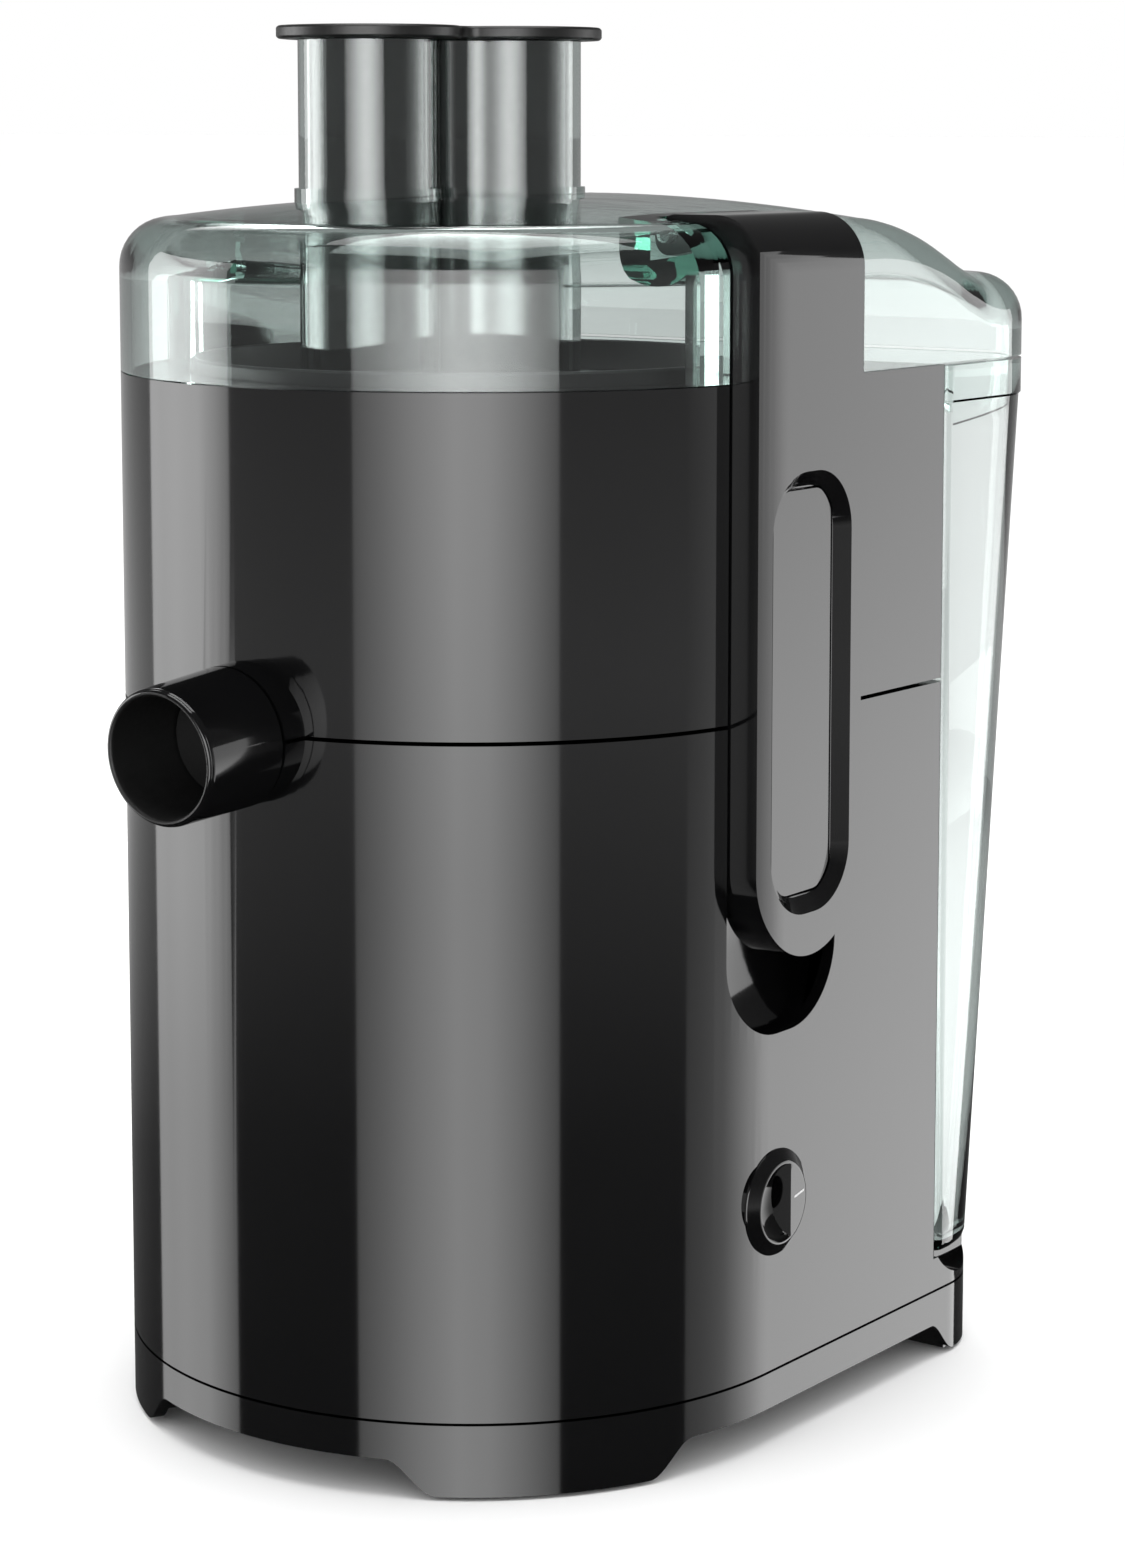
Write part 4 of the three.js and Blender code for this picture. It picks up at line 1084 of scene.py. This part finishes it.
def make_world():
    """White backdrop; what the gloss mirrors is dim low down and brighter towards the horizon."""
    world = bpy.data.worlds.new("studio")
    bpy.context.scene.world = world
    world.use_nodes = True
    nodes, links = world.node_tree.nodes, world.node_tree.links
    path, place, split = [nodes.new("ShaderNode" + kind)
                          for kind in ("LightPath", "TexCoord", "SeparateXYZ")]
    links.new(place.outputs["Generated"], split.inputs[0])
    dim = nodes.new("ShaderNodeValToRGB")
    links.new(map_range(nodes, links, split.outputs["Z"], (-1, 1), (0, 1)), dim.inputs["Fac"])
    steps = [(-0.6, 0.02), (-0.36, 0.05), (-0.27, 0.12), (-0.2, 0.42), (-0.15, 0.62), (-0.06, 0.45),
             (0.1, 0.25), (0.3, 0.12)]
    for _ in steps[2:]:
        dim.color_ramp.elements.new(0.5)
    for element, (height, value) in zip(dim.color_ramp.elements, steps):
        element.position = (height + 1) / 2
        element.color = (value, value, value, 1)
    mirrored_in_clear = map_range(nodes, links, path.outputs["Transmission Depth"], (0, 1), (0, 1))
    mirrored_at_all = map_range(nodes, links, path.outputs["Glossy Depth"], (0, 1), (0, 1))
    dim_or_soft = mix(nodes, links, mirrored_in_clear, dim.outputs["Color"], 0.3)
    seen = mix(nodes, links, mirrored_in_clear, None, 0.72, 1.0)
    white = mix(nodes, links, path.outputs["Is Diffuse Ray"], seen, 1.15)
    strength = mix(nodes, links, mirrored_at_all, white, None)
    links.new(dim_or_soft, strength.node.inputs["B"])
    links.new(strength, nodes["Background"].inputs["Strength"])
    nodes["Background"].inputs["Color"].default_value = (1, 1, 1, 1)


def make_camera():
    """The photograph's view: right front corner, lens a little above the lid, looking down."""
    camera = bpy.data.objects.new("camera", bpy.data.cameras.new("camera"))
    bpy.context.scene.collection.objects.link(camera)
    azimuth, pitch = math.radians(36.43), math.radians(6.97)
    camera.location = (0.5128, -0.6686, 0.2912)
    ahead = Vector((-math.sin(azimuth) * math.cos(pitch), math.cos(azimuth) * math.cos(pitch),
                    -math.sin(pitch)))
    camera.rotation_mode = "QUATERNION"
    camera.rotation_quaternion = ahead.to_track_quat("-Z", "Y")
    camera.data.lens = 85.95
    camera.data.sensor_width = 36
    camera.data.shift_x, camera.data.shift_y = -0.0028, -0.13
    bpy.context.scene.camera = camera
    bpy.context.scene.view_settings.view_transform = "Standard"


# ---------- assembly ----------
make_camera()
make_studio()

for node, obj in frame["nodes"].items():
    paint(obj, LOOKS[SLOTS[node]])

stand_for(soften(make_base_housing(), 0.6), "base_housing")
bowl = soften(make_juice_bowl(), 0.3)
stand_for(bowl, "juice_bowl")
darken(bowl, NOZZLE_SOCKET + 0.4)
nozzle = soften(make_nozzle(), 0)
stand_for(nozzle, "juice_nozzle")
darken(nozzle, NOZZLE_DARK_R)
stand_for(soften(make_lid(), 0, weighted=False), "feed_lid")
pusher = soften(make_pusher(), 0.4)
stand_for(pusher, "food_pusher")
pusher.data.materials.append(LOOKS["smoke_satin"])
for face in pusher.data.polygons:
    face.material_index = 1 if face.center.z > (CHUTE_TOP + 0.2) * MM else 0
arm = soften(make_arm(), 1.0, 4)
left_arm = mirrored(arm, "locking_arm_left_fine")
# a guess: the photo shows nothing above the lid on the left, so the mirrored cap is lowered out of sight
for vertex in left_arm.data.vertices:
    vertex.co.z -= max(vertex.co.z - (ARM_TOP - LEFT_CAP) * MM, 0) * LEFT_CAP_DROP
stand_for(left_arm, "locking_arm_left")
stand_for(arm, "locking_arm_right")
panel = soften(inlay("arm_inlay_right_fine", 0, ARM_FACE - RECESS_DEPTH - 1.2), 0.3)
stand_for(mirrored(panel, "arm_inlay_left_fine"), "arm_inlay_left")
stand_for(panel, "arm_inlay_right")
stand_for(soften(make_container(), 0, weighted=False), "pulp_container")
knob = soften(make_knob(), 0.3)
# the photo's glossy wall shows no reflection of the knob
knob.visible_glossy = False
stand_for(knob, "speed_knob")
tick = make_tick()
paint(tick, moulding("white_mark", (0.7, 0.7, 0.7), (0.35, 0.45), 900, 0.1))
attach(tick, "knob")
stand_for(soften(make_bottom_cover(), 0.3, 2), "bottom_cover")
for node in PADS:
    stand_for(soften(make_pad(node), 0), node)
for node in SCREWS:
    stand_for(soften(make_screw(node), 0.1, 1), node)
stand_for(soften(make_strainer(), 0), "strainer_mesh")
stand_for(soften(make_strainer_rim(), 0), "strainer_rim")
stand_for(soften(make_grater(), 0), "grater_disc")
stand_for(soften(make_hub(), 0), "basket_hub")
stand_for(soften(make_gland(), 0), "cord_gland")
for node in ("latch_pin_right", "latch_pin_left"):
    stand_for(soften(make_pin(node), 0), node)
